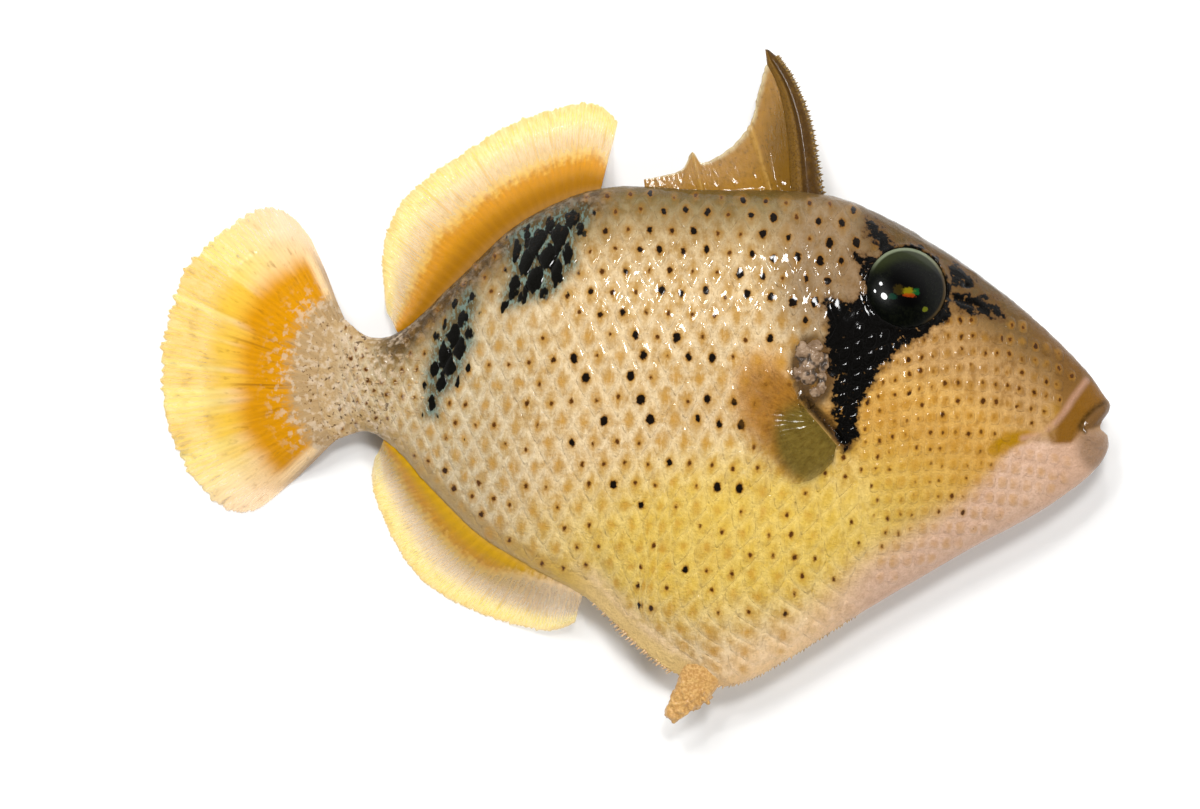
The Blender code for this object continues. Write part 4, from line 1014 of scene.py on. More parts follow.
def outline_of_plate(power):
    """The directions of a plate's outline points, and how far each reaches."""
    angle = round_angles(PLATE_AROUND)
    reach = (np.abs(np.cos(angle)) ** power + np.abs(np.sin(angle)) ** power) ** (-1 / power)
    return np.stack([np.cos(angle), np.sin(angle)], axis=-1) * reach[:, None]


def plate_template(power):
    """A plate's points: place from -1 to 1 each way, height and share of the way to the rim."""
    outline = outline_of_plate(power)
    rows = [np.array([[0, 0, PLATE_STEPS[0][1], 0]])]
    for share, height in PLATE_STEPS[1:]:
        ring = np.column_stack([outline * share, np.full((PLATE_AROUND, 2), (height, share))])
        rows.append(ring)
    rows.append(np.array([[0, 0, PLATE_UNDER, 0]]))
    faces = []
    rings = len(PLATE_STEPS) - 1
    for i in range(PLATE_AROUND):
        ahead = (i + 1) % PLATE_AROUND
        faces.append((0, 1 + i, 1 + ahead))
        for k in range(rings - 1):
            a, b = 1 + k * PLATE_AROUND, 1 + (k + 1) * PLATE_AROUND
            faces += [(a + i, b + i, b + ahead), (a + i, b + ahead, a + ahead)]
        last = 1 + (rings - 1) * PLATE_AROUND
        faces.append((last + i, 1 + rings * PLATE_AROUND, last + ahead))
    return np.concatenate(rows), np.array(faces)


def set_on_skin(tree, points, lift):
    """Moves points to the nearest place on the skin, then out by lift."""
    placed = np.empty_like(points)
    for k, point in enumerate(points):
        here, normal, _, _ = tree.find_nearest(point)
        placed[k] = np.array(here) + np.array(normal) * lift[k]
    return above_floor(placed)


def unwrap_place(x, y, side):
    """A place on a flat unwrap of the body: along it, and round it from the middle line."""
    low, high = height_at(BELLY, x), height_at(BACK, x)
    turn = np.arccos(np.clip(2 * (y - low) / (high - low) - 1, -1, 1)) / math.pi
    along = (x - TAIL_X) / (NOSE_X - TAIL_X)
    return np.stack([0.03 + 0.94 * along, 0.02 + 0.46 * turn + 0.5 * (side < 0)], axis=-1)


def add_bake_map(mesh, roots, local, side):
    """Gives each plate a small patch at its root's place on the unwrapped body."""
    places = unwrap_place(roots[:, 0], roots[:, 1], side) + local * BAKE_PATCH
    layer = mesh.uv_layers.new(name="OFBake")
    corners = np.empty(len(mesh.loops), np.int32)
    mesh.loops.foreach_get("vertex_index", corners)
    layer.uv.foreach_set("vector", np.ascontiguousarray(places[corners], np.float32).ravel())


def dot_sizes(x, y, chance):
    """The radius of each scale's dark dot, 0 for none."""
    count = len(x)
    upper = ramp(y, 4, 5)
    centre = in_oval(x, y, (5, -2), (11, 9), -20, 0.8)
    rear = ramp(x, -7, -5)
    below_back = height_at(BACK, x) - y
    big = np.clip(0.16 + 0.5 * upper + 0.26 * centre - 0.14 * rear, 0, 1)
    big = np.where(y < -11, 0.12, big)
    size = 0.22 + 0.1 * upper * ramp(x, -2, 10) + 0.13 * centre
    size = np.where(rear > 0.5, 0.18, size) * np.where(below_back < 3.2, 0.85, 1.0)
    large = size * chance.uniform(0.75, 1.3, count)
    small = chance.uniform(0.1, 0.17, count)
    pick = chance.random(count)
    common = 0.35 + 0.4 * ramp(below_back, 6, -3) * ramp(x, -10, 6)
    sizes = np.where(pick < big, large, np.where(pick < big + common, small, 0.0))
    above = smooth_step((y + 0.3 * (x - 24) + 1) / 4)
    jaw = within(x, y, JAW, 3.0)
    head_share = (0.1 + 0.32 * above) * (1 - jaw)
    faint = np.where(chance.random(count) < 0.75 * (1 - jaw), chance.uniform(0.07, 0.11, count), 0)
    head_sizes = np.where(chance.random(count) < head_share, chance.uniform(0.12, 0.22, count),
                          faint)
    pink = smooth_step((6 - y + height_at(BELLY, x)) / 3) * ramp(x, 7, 4)
    sizes = np.where(chance.random(count) < pink, 0.0, sizes)
    return np.where(head_side(x, y) > 0, head_sizes, sizes)


def plates(name, tree, side, centres, spans, to_place, power, material, seed):
    """One mesh of closed scale plates set on the skin.

    centres are in a lattice's own coordinates, spans is half a plate's size in them, and
    to_place gives side-view places for such coordinates.
    """
    chance = np.random.default_rng(seed)
    template, pattern = plate_template(power)
    count, size = len(centres), len(template)
    scale = 1 + PLATE_VARIETY * chance.standard_normal((count, 1, 1)).clip(-1.5, 1.5)
    local = template[None, :, :2] * scale
    x, y = to_place((centres[:, None, :] + local * np.array(spans)).reshape(-1, 2))
    root_x, root_y = to_place(centres)
    flat = flank_points(x, y, side)
    tilt = PLATE_TILT * chance.standard_normal((count, 1, 2)).clip(-2, 2)
    inner = 1 - template[None, :, 3] ** 2
    lift = (template[None, :, 2] + (local * tilt).sum(axis=-1) * inner).ravel()
    points = set_on_skin(tree, flat, lift)
    faces = (pattern[None] + size * np.arange(count)[:, None, None]).reshape(-1, 3)
    if side < 0:
        faces = faces[:, ::-1]
    obj = mesh_object(name, points, faces)
    each = np.repeat(np.arange(count), size)
    offset = TILE_SHIFT * chance.standard_normal((count, 2))
    tile = np.column_stack([x - root_x[each] + offset[each, 0], y - root_y[each] + offset[each, 1],
                            chance.random(count)[each]])
    dots = dot_sizes(root_x, root_y, chance)
    paint(obj.data, x, y, np.tile(template[:, 3], count), tile, dots[each])
    add_bake_map(obj.data, np.column_stack([root_x, root_y])[each],
                 np.tile(template[:, :2], (count, 1)), side)
    place(obj, material, "skin")


def lattice_points(columns, rows, stagger):
    """Each column and row of a lattice, in pairs, with odd rows shifted by stagger columns."""
    column, row = np.meshgrid(np.arange(*columns) * 1.0, np.arange(*rows) * 1.0)
    return np.column_stack([(column + stagger * (np.abs(row) % 2)).ravel(), row.ravel()])


def inside_profile(x, y):
    """How far a place is below the back or above the belly, whichever is less."""
    return np.minimum(height_at(BACK, x) - y, y - height_at(BELLY, x))


def trunk_plates(tree, side, material):
    lattice = Lattice()

    def trunk_place(flat):
        return lattice.place(flat[:, 0], flat[:, 1])

    centres = lattice_points(*TRUNK_GRID)
    x, y = trunk_place(centres)
    flap = (x < 8) & (x > -5) & (y - height_at(BELLY, x) < 3.0)
    keep = (inside_profile(x, y) > 0.5) & (x > -27.6) & (head_side(x, y) < -0.7) & ~flap
    plates("trunk_scales_" + SIDE_NAMES[side], tree, side, centres[keep], TRUNK_SPANS,
           trunk_place, TRUNK_POWER, material, SEED + side)


def cheek_place(flat):
    """Side-view places on rows that rise from the gill, then fall to the mouth."""
    x = CHEEK_START + flat[:, 0] * CHEEK_PITCH[0]
    level = flat[:, 1] * CHEEK_PITCH[1]
    bend = CHEEK_BEND[0] + (CHEEK_BEND[1] - CHEEK_BEND[0]) * ramp(level, -7, 13)
    return x, level - bend * (x - CHEEK_CREST) ** 2 / 2


def head_plates(tree, side, material):
    centres = lattice_points(*HEAD_GRID)
    x, y = cheek_place(centres)
    eye_distance = np.hypot(x - EYE[0], y - EYE[1])
    keep = (inside_profile(x, y) > 1.3) & (x < 41.6) & (y < 17 - 0.1 * x)
    keep &= (head_side(x, y) > 0.6) & (eye_distance > 4.9)
    keep &= outline_distance(x, y, MOUTH_TRIANGLE) > 0.5
    for line, gap in ((GROOVE, 1.0), (NOSTRILS, 1.1), (FOLD, 0.9), (GILL_SLIT, 1.0)):
        keep &= line_distance(x, y, line) > gap
    plates("head_scales_" + SIDE_NAMES[side], tree, side, centres[keep], HEAD_SPANS, cheek_place,
           HEAD_POWER, material, SEED + 10 + side)


# Fins

FIN_ROWS_OUT = 30
MEMBRANE_HALF, RAY_HALF = 0.09, 0.19
LEVEL_ROOT, DROOP, FLAT_FROM = 0.6, 0.85, 0.81
FIN_ROOT_SINK, ROOT_THICKENING = 0.7, 0.16
SOFT_DORSAL_X = (-4.3, -22.5)
SOFT_DORSAL_EDGE = [(-2.75, 24.9), (-5.3, 26.5), (-9.3, 25.6), (-13.3, 23.9), (-16.9, 21.4),
                    (-20.2, 18.9), (-22.9, 16.2), (-24.2, 13.4), (-24.6, 10.2), (-24.2, 7.3),
                    (-23.8, 5.4)]
ANAL_X = (-3.8, -23.3)
ANAL_EDGE = [(-4.2, -23.2), (-6.4, -24.2), (-9.6, -23.95), (-13.0, -23.1), (-16.3, -21.8),
             (-19.2, -20.0), (-21.4, -17.4), (-23.1, -14.4), (-24.2, -11.9), (-24.4, -10.2),
             (-24.1, -8.6)]
CAUDAL_ROOT = [(-28.6, 4.5), (-29.6, 2.4), (-30.0, -1.0), (-29.5, -4.4), (-28.3, -6.7)]
CAUDAL_EDGE = [(-31.6, 12.1), (-33.5, 14.0), (-35.6, 14.75), (-38.2, 13.6), (-41.2, 11.2),
               (-43.3, 8.4), (-44.5, 5.0), (-45.1, 1.5), (-45.1, -2.2), (-44.4, -6.2),
               (-42.7, -9.9), (-40.3, -12.9), (-37.6, -14.5), (-35.3, -14.2), (-33.2, -12.5)]
PECTORAL_ROOT = [(15.7, -1.5), (17.2, -2.9), (19.1, -4.9)]
PECTORAL_EDGE = [(14.3, 1.2), (12.3, 2.6), (10.1, 2.2), (9.1, 0.1), (9.2, -2.2), (10.0, -4.6),
                 (11.4, -6.6), (13.2, -8.0), (15.2, -8.7), (17.3, -8.0), (18.9, -6.4)]
PECTORAL_LIFT = 0.35
RAYS = {"soft_dorsal_fin": 26, "anal_fin": 24, "caudal_fin": 24, "pectoral_fin_right": 14,
        "pectoral_fin_left": 14}
COLUMNS_PER_RAY = 14
FAN_SIZE = (36.0, 5.0)
FIRST_FORK, SECOND_FORK = (0.22, 0.42), (0.5, 0.72)
FRAYS_PER_RAY, FRAY, RAY_REACH = 8, 0.009, 0.008
LINES_PER_RAY = 4


def body_edge(line, x, out):
    """Places out from the back (out above 0) or the belly (out below 0) in side view."""
    step = 0.2
    rise = (height_at(line, x + step) - height_at(line, x - step)) / (2 * step)
    away = unit(np.stack([-rise, np.ones_like(rise)], axis=-1))
    return np.stack([x, height_at(line, x)], axis=-1) + away * out


def drooping(root, edge):
    """The surface of a fin that leaves the body level and then droops to the floor."""
    def at(u, v):
        near, far = root(u), edge(u)
        length = np.linalg.norm(far - near, axis=-1)
        top = mid_height(near[..., 0])
        low = np.maximum(0.25, top - DROOP * length)
        fall = smooth_step((v * length - LEVEL_ROOT) / (FLAT_FROM * length - LEVEL_ROOT))
        flat = near + (far - near) * v[..., None]
        return np.concatenate([flat, (top + (low - top) * fall)[..., None]], axis=-1)
    return at


def ray_ridges(u, v, rays):
    """Height of the fin rays, 0 to 1, as each forks twice on its way out."""
    first = smooth_step((v - FIRST_FORK[0]) / (FIRST_FORK[1] - FIRST_FORK[0]))
    second = smooth_step((v - SECOND_FORK[0]) / (SECOND_FORK[1] - SECOND_FORK[0]))
    whole = np.sin(math.pi * rays * u) ** 2
    halves = np.sin(2 * math.pi * rays * u) ** 2 * (0.35 + 0.65 * whole)
    quarters = np.sin(4 * math.pi * rays * u) ** 2 * (0.4 + 0.6 * halves)
    ridge = whole ** 2 * (1 - first) + halves * first
    return ridge * (1 - second) + quarters * second


def fin_sheet(name, surface, rays, heights, below=1.0, rows=FIN_ROWS_OUT, per_ray=COLUMNS_PER_RAY):
    """A closed thin sheet round a surface, with raised rays and a slightly frayed edge.

    heights are half the thickness of the membrane and of a ray. It returns the object, and u, v
    and the ray's share for each point.
    """
    chance = np.random.default_rng(SEED + len(name))
    columns = rays * per_ray
    u, v = np.meshgrid(steps(columns), steps(rows), indexing="ij")
    ridge = ray_ridges(u, v, rays)
    frays = rays * FRAYS_PER_RAY
    frayed = 1 + FRAY * chance.standard_normal(frays + 1)
    longer = np.interp(u, steps(frays), frayed) + RAY_REACH * ridge
    reach = v * (1 + (longer - 1) * v ** 3)
    step = 0.004
    here = surface(u, reach)
    out = surface(u, reach + step) - surface(u, reach - step)
    along = surface(np.minimum(u + step, 1), reach) - surface(np.maximum(u - step, 0), reach)
    normal = unit(np.cross(out, along))
    normal *= np.where(normal[..., 2:] < 0, -1, 1)
    thin = (1 - 0.72 * v) * (1 - ramp(v, 0.93, 0.07) * 0.6)
    thin = thin * (0.3 + 0.7 * smooth_step(v / 0.45))
    half = heights[0] * (1 - 0.5 * v) + (heights[1] - heights[0]) * ridge * thin
    half = half + ROOT_THICKENING * ramp(v, 0.13, -0.13)
    top = here + normal * (half * (2 - below))[..., None]
    bottom = above_floor(here - normal * (half * below)[..., None])
    top[..., 2] = np.maximum(top[..., 2], bottom[..., 2] + 0.03)
    across = rows + 1
    count = (columns + 1) * across
    grid = np.arange(count).reshape(columns + 1, across)
    a, b = grid[:-1, :-1].ravel(), grid[1:, :-1].ravel()
    c, d = grid[1:, 1:].ravel(), grid[:-1, 1:].ravel()
    faces = [np.column_stack([a, b, c, d]), np.column_stack([d, c, b, a]) + count]
    edge = np.concatenate([grid[:, 0], grid[-1, 1:], grid[-2::-1, -1], grid[0, -2:0:-1]])
    ahead = np.roll(edge, -1)
    faces.append(np.column_stack([ahead, edge, edge + count, ahead + count]))
    points = np.concatenate([top.reshape(-1, 3), bottom.reshape(-1, 3)])
    obj = recalculate_normals(mesh_object(name, points, np.concatenate(faces)))
    both = [np.concatenate([field.ravel()] * 2) for field in (u, v, ridge)]
    return obj, both


def fine_lines(u, v, count, seed):
    """Strength of thin dark lines that run out along the finest rays, each for its own length."""
    chance = np.random.default_rng(seed)
    line = np.clip((u * count).astype(int), 0, count - 1)
    away = np.abs(u * count - line - 0.5)
    start = chance.uniform(0.05, 0.6, count)
    end = start + chance.uniform(0.15, 0.5, count)
    strength = chance.random(count) ** 2
    return (strength[line] * ramp(away, 0.4, -0.2)
            * smooth_step((v - start[line]) / 0.08) * smooth_step((end[line] - v) / 0.12))


def wander(t, seed, waves=9):
    """A smooth uneven line, from about -1 to 1, as t goes from 0 to 1."""
    chance = np.random.default_rng(seed)
    total = 0
    for k in range(1, waves + 1):
        total = total + np.sin(2 * math.pi * (k * 1.7 * t + chance.random())) / k ** 0.7
    return total / 2.2


def fin_finish(name, grain=0.07):
    """Thin, slightly clear fin skin. Its two colours, clearness and rays come from the mesh."""
    f = Finish(name, Specular_IOR_Level=0.05, Coat_Weight=0.3, Coat_Roughness=0.06)
    fine, middle = f.noise(0.16, 3), f.noise(0.6, 3)
    streaks = f.noise(0.5, 3, 0.6, vector=f.read("fan", "Vector"))
    uneven = f.plus(f.times(streaks, 0.55), f.times(middle, 0.45))
    inner = f.rise(f.plus(uneven, f.read("blend")), 0.8, 1.2)
    colour = f.mix(inner, f.read("tone", "Color"), f.read("shade", "Color"))
    pale = f.times(f.rise(f.noise(0.75, 2), 0.5, 0.62), f.read("pale"))
    colour = f.mix(pale, colour, FIN_LILAC)
    darker = f.times(f.rise(streaks, 0.52, 0.75), f.read("streaks"))
    colour = f.mix(darker, colour, FIN_BROWN)
    speck = f.times(f.rise(f.noise(0.3, 2), 0.62, 0.7), f.read("specks"))
    colour = f.mix(speck, colour, linear(84, 50, 14))
    solid = f.times_plus(f.read("ray"), 0.1, f.read("solid"))
    solid = f.math("ADD", solid, f.times_plus(streaks, 0.3, -0.15), clamp=True)
    height = f.times_plus(fine, 0.6, f.times(middle, 0.4))
    f.set(Base_Color=colour, Alpha=solid, Roughness=f.times_plus(fine, 0.2, 0.32),
          Normal=f.bump(height, grain))
    return f.material


def paint_fin(obj, fields, tone, shade, blend, solid, specks, streaks=0, pale=0):
    """Writes a fin's looks: two colours, how far the second reaches, clearness and marks."""
    u, v, ridge = fields
    fan = np.stack([u * FAN_SIZE[0], v * FAN_SIZE[1], 0 * u], axis=-1) * MM
    set_fields(obj.data, tone=with_alpha(tone), shade=with_alpha(shade + 0 * tone), fan=fan,
               blend=blend + 0 * u, solid=solid + 0 * u, ray=ridge, specks=specks + 0 * u,
               streaks=streaks + 0 * u, pale=pale + 0 * u)


def soft_fin(name, line, span, edge, material, band, weak_ends):
    """A soft fin along the back or the belly: orange near the body, pale at the edge."""
    out = -FIN_ROOT_SINK if line is BACK else FIN_ROOT_SINK
    surface = drooping(lambda u: body_edge(line, span[0] + (span[1] - span[0]) * u, out),
                       lambda u: curve_at(edge, u))
    obj, fields = fin_sheet(name, surface, RAYS[name], (MEMBRANE_HALF, RAY_HALF))
    u, v, _ = fields
    strong = smooth_step((u - weak_ends[0]) / 0.3) * smooth_step((weak_ends[1] - u) / 0.15)
    lines = fine_lines(u, v, RAYS[name] * LINES_PER_RAY, SEED + 20)
    outer = painted(FIN_PINK, [
        (FIN_PALE, ramp(v, 0.62, 0.3)),
        (FIN_YELLOW, 0.8 * smooth_step((band + 0.34 - v) / 0.34) * strong),
        (FIN_YELLOW, 0.7 * ramp(v, 0.9, 0.08)),
        (FIN_BROWN, 0.3 * lines),
    ])
    inner = painted(FIN_ORANGE, [
        (FIN_DEEP if line is BACK else FIN_GOLD, ramp(v, 0.42, -0.25)),
        (FIN_GREY, 0.6 * ramp(v, 0.16, -0.07) * (1 - 0.7 * strong)),
    ])
    reach = band * (0.2 + 0.8 * strong) + 0.03 * wander(u, SEED + len(name))
    blend = np.clip(0.5 + (reach - v) / 0.42, 0, 1)
    solid = 0.3 + 0.64 * smooth_step((reach + 0.14 - v) / 0.3) + 0.2 * lines
    paint_fin(obj, fields, outer, inner, blend, solid, 0.05, 0.3)
    place(obj, material, "fin", name)


def caudal_fin(material):
    surface = drooping(lambda u: curve_at(CAUDAL_ROOT, u) + np.array([0.9, 0]),
                       lambda u: curve_at(CAUDAL_EDGE, u))
    obj, fields = fin_sheet("caudal_fin", surface, RAYS["caudal_fin"],
                            (MEMBRANE_HALF, RAY_HALF), per_ray=18)
    u, v, _ = fields
    outer = 0.66 + 0.04 * wander(u, SEED + 31, 14)
    ends = ramp(u, 0.03, 0.2) * ramp(u, 0.95, -0.2)
    within_lobes = ramp(u, 0.12, 0.2) * ramp(u, 0.88, -0.2)
    orange = smooth_step((outer - v) / 0.2) * smooth_step((ends - 0.35) / 0.4 + 0.5)
    lines = fine_lines(u, v, RAYS["caudal_fin"] * LINES_PER_RAY, SEED + 32)
    middle = ramp(u, 0.35, 0.15) * ramp(u, 0.75, -0.15)
    leading = np.minimum(u / 0.07, (1 - u) / 0.08)
    tone = painted(FIN_PINK, [
        (FIN_PALE, within_lobes * ramp(v, 0.5, 0.3)),
        (FIN_YELLOW, 0.8 * within_lobes * smooth_step(wander(u, SEED + 33, 30) + 0.6)),
        (FIN_ORANGE, orange),
        (FIN_BROWN, 0.8 * lines * middle),
        (FIN_LEADING, 0.8 * smooth_step(1.3 - leading) * ramp(v, 0.85, -0.3)),
    ])
    blend = np.clip(0.5 + (0.23 - v) / 0.34, 0, 1)
    base = laid_over(FIN_GREY, linear(160, 134, 94),
                     0.6 * smooth_step(wander(3 * u, SEED + 34) - 0.2))
    solid = 0.34 + 0.6 * smooth_step((outer + 0.14 - v) / 0.3) * (0.55 + 0.45 * ends)
    solid = solid + 0.25 * lines * middle
    specks = 0.85 * ramp(v, 0.28, -0.2)
    pale = 0.7 * ramp(v, 0.46, -0.25)
    paint_fin(obj, fields, tone, base, blend, solid, specks, 0.45, pale)
    place(obj, material, "fin", "caudal_fin")


def pectoral_fin(name, side, material):
    def surface(u, v):
        near, far = curve_at(PECTORAL_ROOT, u), curve_at(PECTORAL_EDGE, u)
        flat = near + (far - near) * v[..., None]
        if side < 0:
            return np.concatenate([flat, 0.02 + 0 * flat[..., :1]], axis=-1)
        lift = 0.12 + 0.1 * v + PECTORAL_LIFT * v ** 2
        return flank_points(flat[..., 0], flat[..., 1], side, lift)

    obj, fields = fin_sheet(name, surface, RAYS[name], (0.07, 0.11), below=0.3, rows=28,
                            per_ray=12)
    _, v, ridge = fields
    points = points_of(obj.data)
    x, y = points[:, 0], points[:, 1]
    olive = in_oval(x, y, (16.7, -5.0), (3.2, 4.2), 30, 0.5)
    tone = painted(linear(186, 128, 44), [(linear(122, 102, 42), olive),
                                          (linear(104, 70, 22), 0.12 * ridge)])
    shade = laid_over(linear(112, 64, 12), linear(84, 66, 20), olive)
    solid = 0.5 * ramp(v, 1.08, -0.8) + 0.34 * olive - 0.08 * ridge
    paint_fin(obj, fields, tone, shade, 0.45, solid, 0.1, 0.15)
    place(obj, material, "pectoral", name)


# The first back fin

FIRST_SPINE_FRONT = [(17.1, 18.2), (16.2, 22.3), (15.2, 25.9), (13.6, 29.2), (11.9, 31.4)]
FIRST_SPINE_REAR = [(13.9, 18.2), (13.5, 22.6), (12.9, 25.9), (12.1, 28.6), (11.0, 30.6)]
FIRST_SPINE_TIP = (10.9, 32.0)
FIRST_SPINE_HALF = [1.05, 0.9, 0.75, 0.6, 0.45]
TUBERCLE_TURNS, TUBERCLES_ALONG = (-0.5, 0.0, 0.5), (0.04, 0.97, 30)
SPINY_RAYS, SMALL_SPINES, SPINE_WIDTH = 9, (2, 6), 0.018
SPINY_RIBS = [(13.6, (10.7, 30.5)), (12.9, (10.3, 27.6)), (12.2, (9.7, 24.9)),
              (10.4, (8.2, 22.7)), (8.0, (6.6, 21.5)), (6.6, (5.3, 21.0)), (5.7, (4.4, 21.9)),
              (4.2, (3.6, 20.3)), (2.2, (2.0, 19.6)), (0.2, (0.0, 19.1))]


def first_spine(material):
    """The stout first spine: an upright blade with a fold along it."""
    rows, around = 44, 40
    t = steps(rows)
    front, rear = curve_at(FIRST_SPINE_FRONT, t), curve_at(FIRST_SPINE_REAR, t)
    front[:, 1] -= 0.9 * (1 - t) ** 4
    rear[:, 1] -= 0.9 * (1 - t) ** 4
    half = np.interp(t, steps(4), FIRST_SPINE_HALF)
    angle = round_angles(around)
    middle, reach = (front + rear) / 2, (front - rear) / 2
    flat = middle[:, None] + reach[:, None] * np.cos(angle)[:, None]
    fold = 1 - 0.3 * np.exp(-((np.cos(angle) + 0.25) / 0.12) ** 2)
    thin = np.where(np.cos(angle) < -0.25, 0.55 + 0.45 * (1 + np.cos(angle)) / 0.75, 1.0)
    z = MID_HEIGHT + half[:, None] * np.sin(angle) * fold * thin
    rings = np.concatenate([flat, z[..., None]], axis=-1)
    tip = np.stack([FIRST_SPINE_TIP[0] + 0.15 * np.cos(angle),
                    FIRST_SPINE_TIP[1] + 0 * angle, MID_HEIGHT + 0.15 * np.sin(angle)], axis=-1)
    obj = loft("first_spine", np.concatenate([rings, tip[None]]))
    share = np.concatenate([np.tile(np.cos(angle), rows + 2), [0, 0]])
    tone = painted(linear(72, 46, 2), [
        (linear(116, 82, 20), ramp(share, -0.2, -0.1) * 0.9),
        (linear(100, 70, 20), ramp(share, 0.6, 0.3)),
    ])
    set_fields(obj.data, tone=with_alpha(tone))
    place(obj, material, "spine", "first_dorsal_spine")


CONE_SIDES, CONE_TURN = 7, (0.31, 0.59, 0.74)
CONE_STEPS = [(-0.35, 1.05), (0.0, 1.0), (0.45, 0.55), (0.85, 0.18)]


def cones(name, forms, bend=(0, 0, 0)):
    """Many small closed, tapered points in one mesh, each with its base sunk.

    forms gives each one's base, outward direction, radius and height.
    """
    bend = np.asarray(bend)
    points, faces = [], []
    for base, out, radius, height in forms:
        base, turn = np.asarray(base), turn_to(out, CONE_TURN)
        start = len(points)
        for share, width in CONE_STEPS:
            centre = base + turn[:, 2] * height * share
            centre = centre + bend * max(share, 0) ** 2 * height
            for a in round_angles(CONE_SIDES):
                points.append(centre + turn @ np.array([math.cos(a), math.sin(a), 0])
                              * radius * width)
        points.append(base - turn[:, 2] * height * 0.4)
        points.append(base + turn[:, 2] * height + bend * height)
        faces += ring_faces(len(CONE_STEPS), CONE_SIDES, True, start)
    return recalculate_normals(mesh_object(name, points, faces))


def spiny_membrane(material):
    last = len(SPINY_RIBS) - 1

    def surface(u, v):
        reach = np.clip(u, 0, 1) * last
        i = np.minimum(reach.astype(int), last - 1)
        s = reach - i
        roots = np.array([rib[0] for rib in SPINY_RIBS])
        ends = np.array([rib[1] for rib in SPINY_RIBS])
        root = body_edge(BACK, roots[i] + (roots[i + 1] - roots[i]) * s, -0.5)
        end = curve_at(ends, u)
        flat = root + (end - root) * v[..., None]
        behind = curve_at(FIRST_SPINE_REAR, v) + np.array([0.15, 0]) * (1 - v[..., None])
        behind[..., 1] = np.maximum(behind[..., 1], root[..., 1])
        flat = flat + (behind - flat) * np.maximum(0, 1 - reach)[..., None]
        sag = 0.35 * np.sin(math.pi * v) * np.sin(math.pi * np.clip(reach / 2, 0, 1))
        return np.concatenate([flat, (MID_HEIGHT - sag)[..., None]], axis=-1)

    obj, fields = membrane_sheet("spiny_fin", surface)
    u, v, ridge = fields
    tone = painted(linear(168, 120, 34), [
        (linear(104, 72, 10), 0.8 * ramp(u, 0.35, -0.3) * ramp(v, 0.9, -0.5)),
        (linear(206, 186, 140), ramp(v, 0.88, 0.1)),
        (linear(192, 150, 78), 0.6 * ridge),
    ])
    solid = 0.74 + 0.16 * ramp(v, 0.5, -0.5)
    paint_fin(obj, fields, tone, linear(116, 82, 26), 0.38, solid, 0.3)
    place(obj, material, "spiny_membrane", "spiny_dorsal_fin")


def membrane_sheet(name, surface):
    """The first fin's membrane, with its two small spines as ridges and fine wrinkles."""
    obj, fields = fin_sheet(name, surface, SPINY_RAYS, (0.14, 0.2), per_ray=12)
    u, v, _ = fields
    ridge = sum(np.exp(-((u - ray / SPINY_RAYS) / SPINE_WIDTH) ** 2) for ray in SMALL_SPINES)
    points = points_of(obj.data)
    half = len(points) // 2
    lift = 0.24 * ridge * (1 - 0.6 * v)
    points[:half, 2] += lift[:half]
    points[half:, 2] -= lift[half:]
    set_points(obj.data, points)
    return obj, [u, v, ridge]


# Rough and small forms

PELVIC_LINE = [(8.2, -27.2), (7.3, -29.0), (6.1, -30.4), (5.2, -31.6)]
PELVIC_HALF_WIDTH = [2.3, 1.75, 1.0, 0.5]
PELVIC_HALF_DEPTH = [1.1, 0.95, 0.7, 0.4]
GRAINS, GRAIN_SIZE, STUB_VOXEL = 150, (0.12, 0.24), 0.11
STUB_ACROSS = (0.83, -0.55)


def stub_size(t):
    """Half the stub's width and half its depth at t, 0 to 1, along it."""
    return [np.interp(t, steps(3), half) for half in (PELVIC_HALF_WIDTH, PELVIC_HALF_DEPTH)]


def stub_grains():
    """Small balls all over the stub."""
    chance = random.Random(SEED)
    grains = []
    for _ in range(GRAINS):
        along, turn = chance.uniform(0.2, 1.0), chance.uniform(0, 2 * math.pi)
        here, (wide, deep) = curve_at(PELVIC_LINE, np.array(along)), stub_size(along)
        centre = (*(here + np.array(STUB_ACROSS) * math.cos(turn) * wide),
                  MID_HEIGHT + math.sin(turn) * deep)
        size = chance.uniform(*GRAIN_SIZE)
        grains.append(ball("grain", centre, (size, size, size * 1.2), segments=8, rings=5))
    return grains


def pelvic_stub(material):
    """The rough stub at the pelvis, covered with grains."""
    t = steps(24)
    line = curve_at(PELVIC_LINE, t)
    line[:, 1] += 0.9 * (1 - t) ** 3
    wide, deep = stub_size(t)
    angle = round_angles(28)
    flat = line[:, None] + (np.cos(angle)[None, :, None] * wide[:, None, None]
                            * np.array(STUB_ACROSS))
    z = MID_HEIGHT + np.sin(angle) * deep[:, None]
    obj = loft("pelvic_stub", np.concatenate([flat, z[..., None]], axis=-1))
    join(obj, stub_grains())
    remesh(obj, STUB_VOXEL)
    points = smoothed(obj.data, points_of(obj.data), 1)
    set_points(obj.data, points)
    points += normals_of(obj.data) * (0.05 * roughness_of(points, 0.35, 5))[:, None]
    set_points(obj.data, points)
    place(obj, material, "rough_bone", "pelvic_spine")


def join(target, others):
    """Joins other meshes to the target's as separate shells."""
    work = bmesh.new()
    for obj in [target] + others:
        work.from_mesh(obj.data)
    work.to_mesh(target.data)
    work.free()
    for other in others:
        bpy.data.objects.remove(other)


def rough_finish():
    f = Finish("rough_stub", Roughness=0.42, Coat_Weight=0.4, Coat_Roughness=0.12)
    grain, broad = f.noise(0.25, 3), f.noise(1.1, 2)
    colour = f.mix(f.rise(grain, 0.35, 0.7), linear(176, 132, 66), linear(216, 176, 108))
    colour = f.mix(f.times(broad, 0.4), colour, linear(204, 142, 82))
    f.set(Base_Color=colour, Normal=f.bump(grain, 0.12))
    return f.material


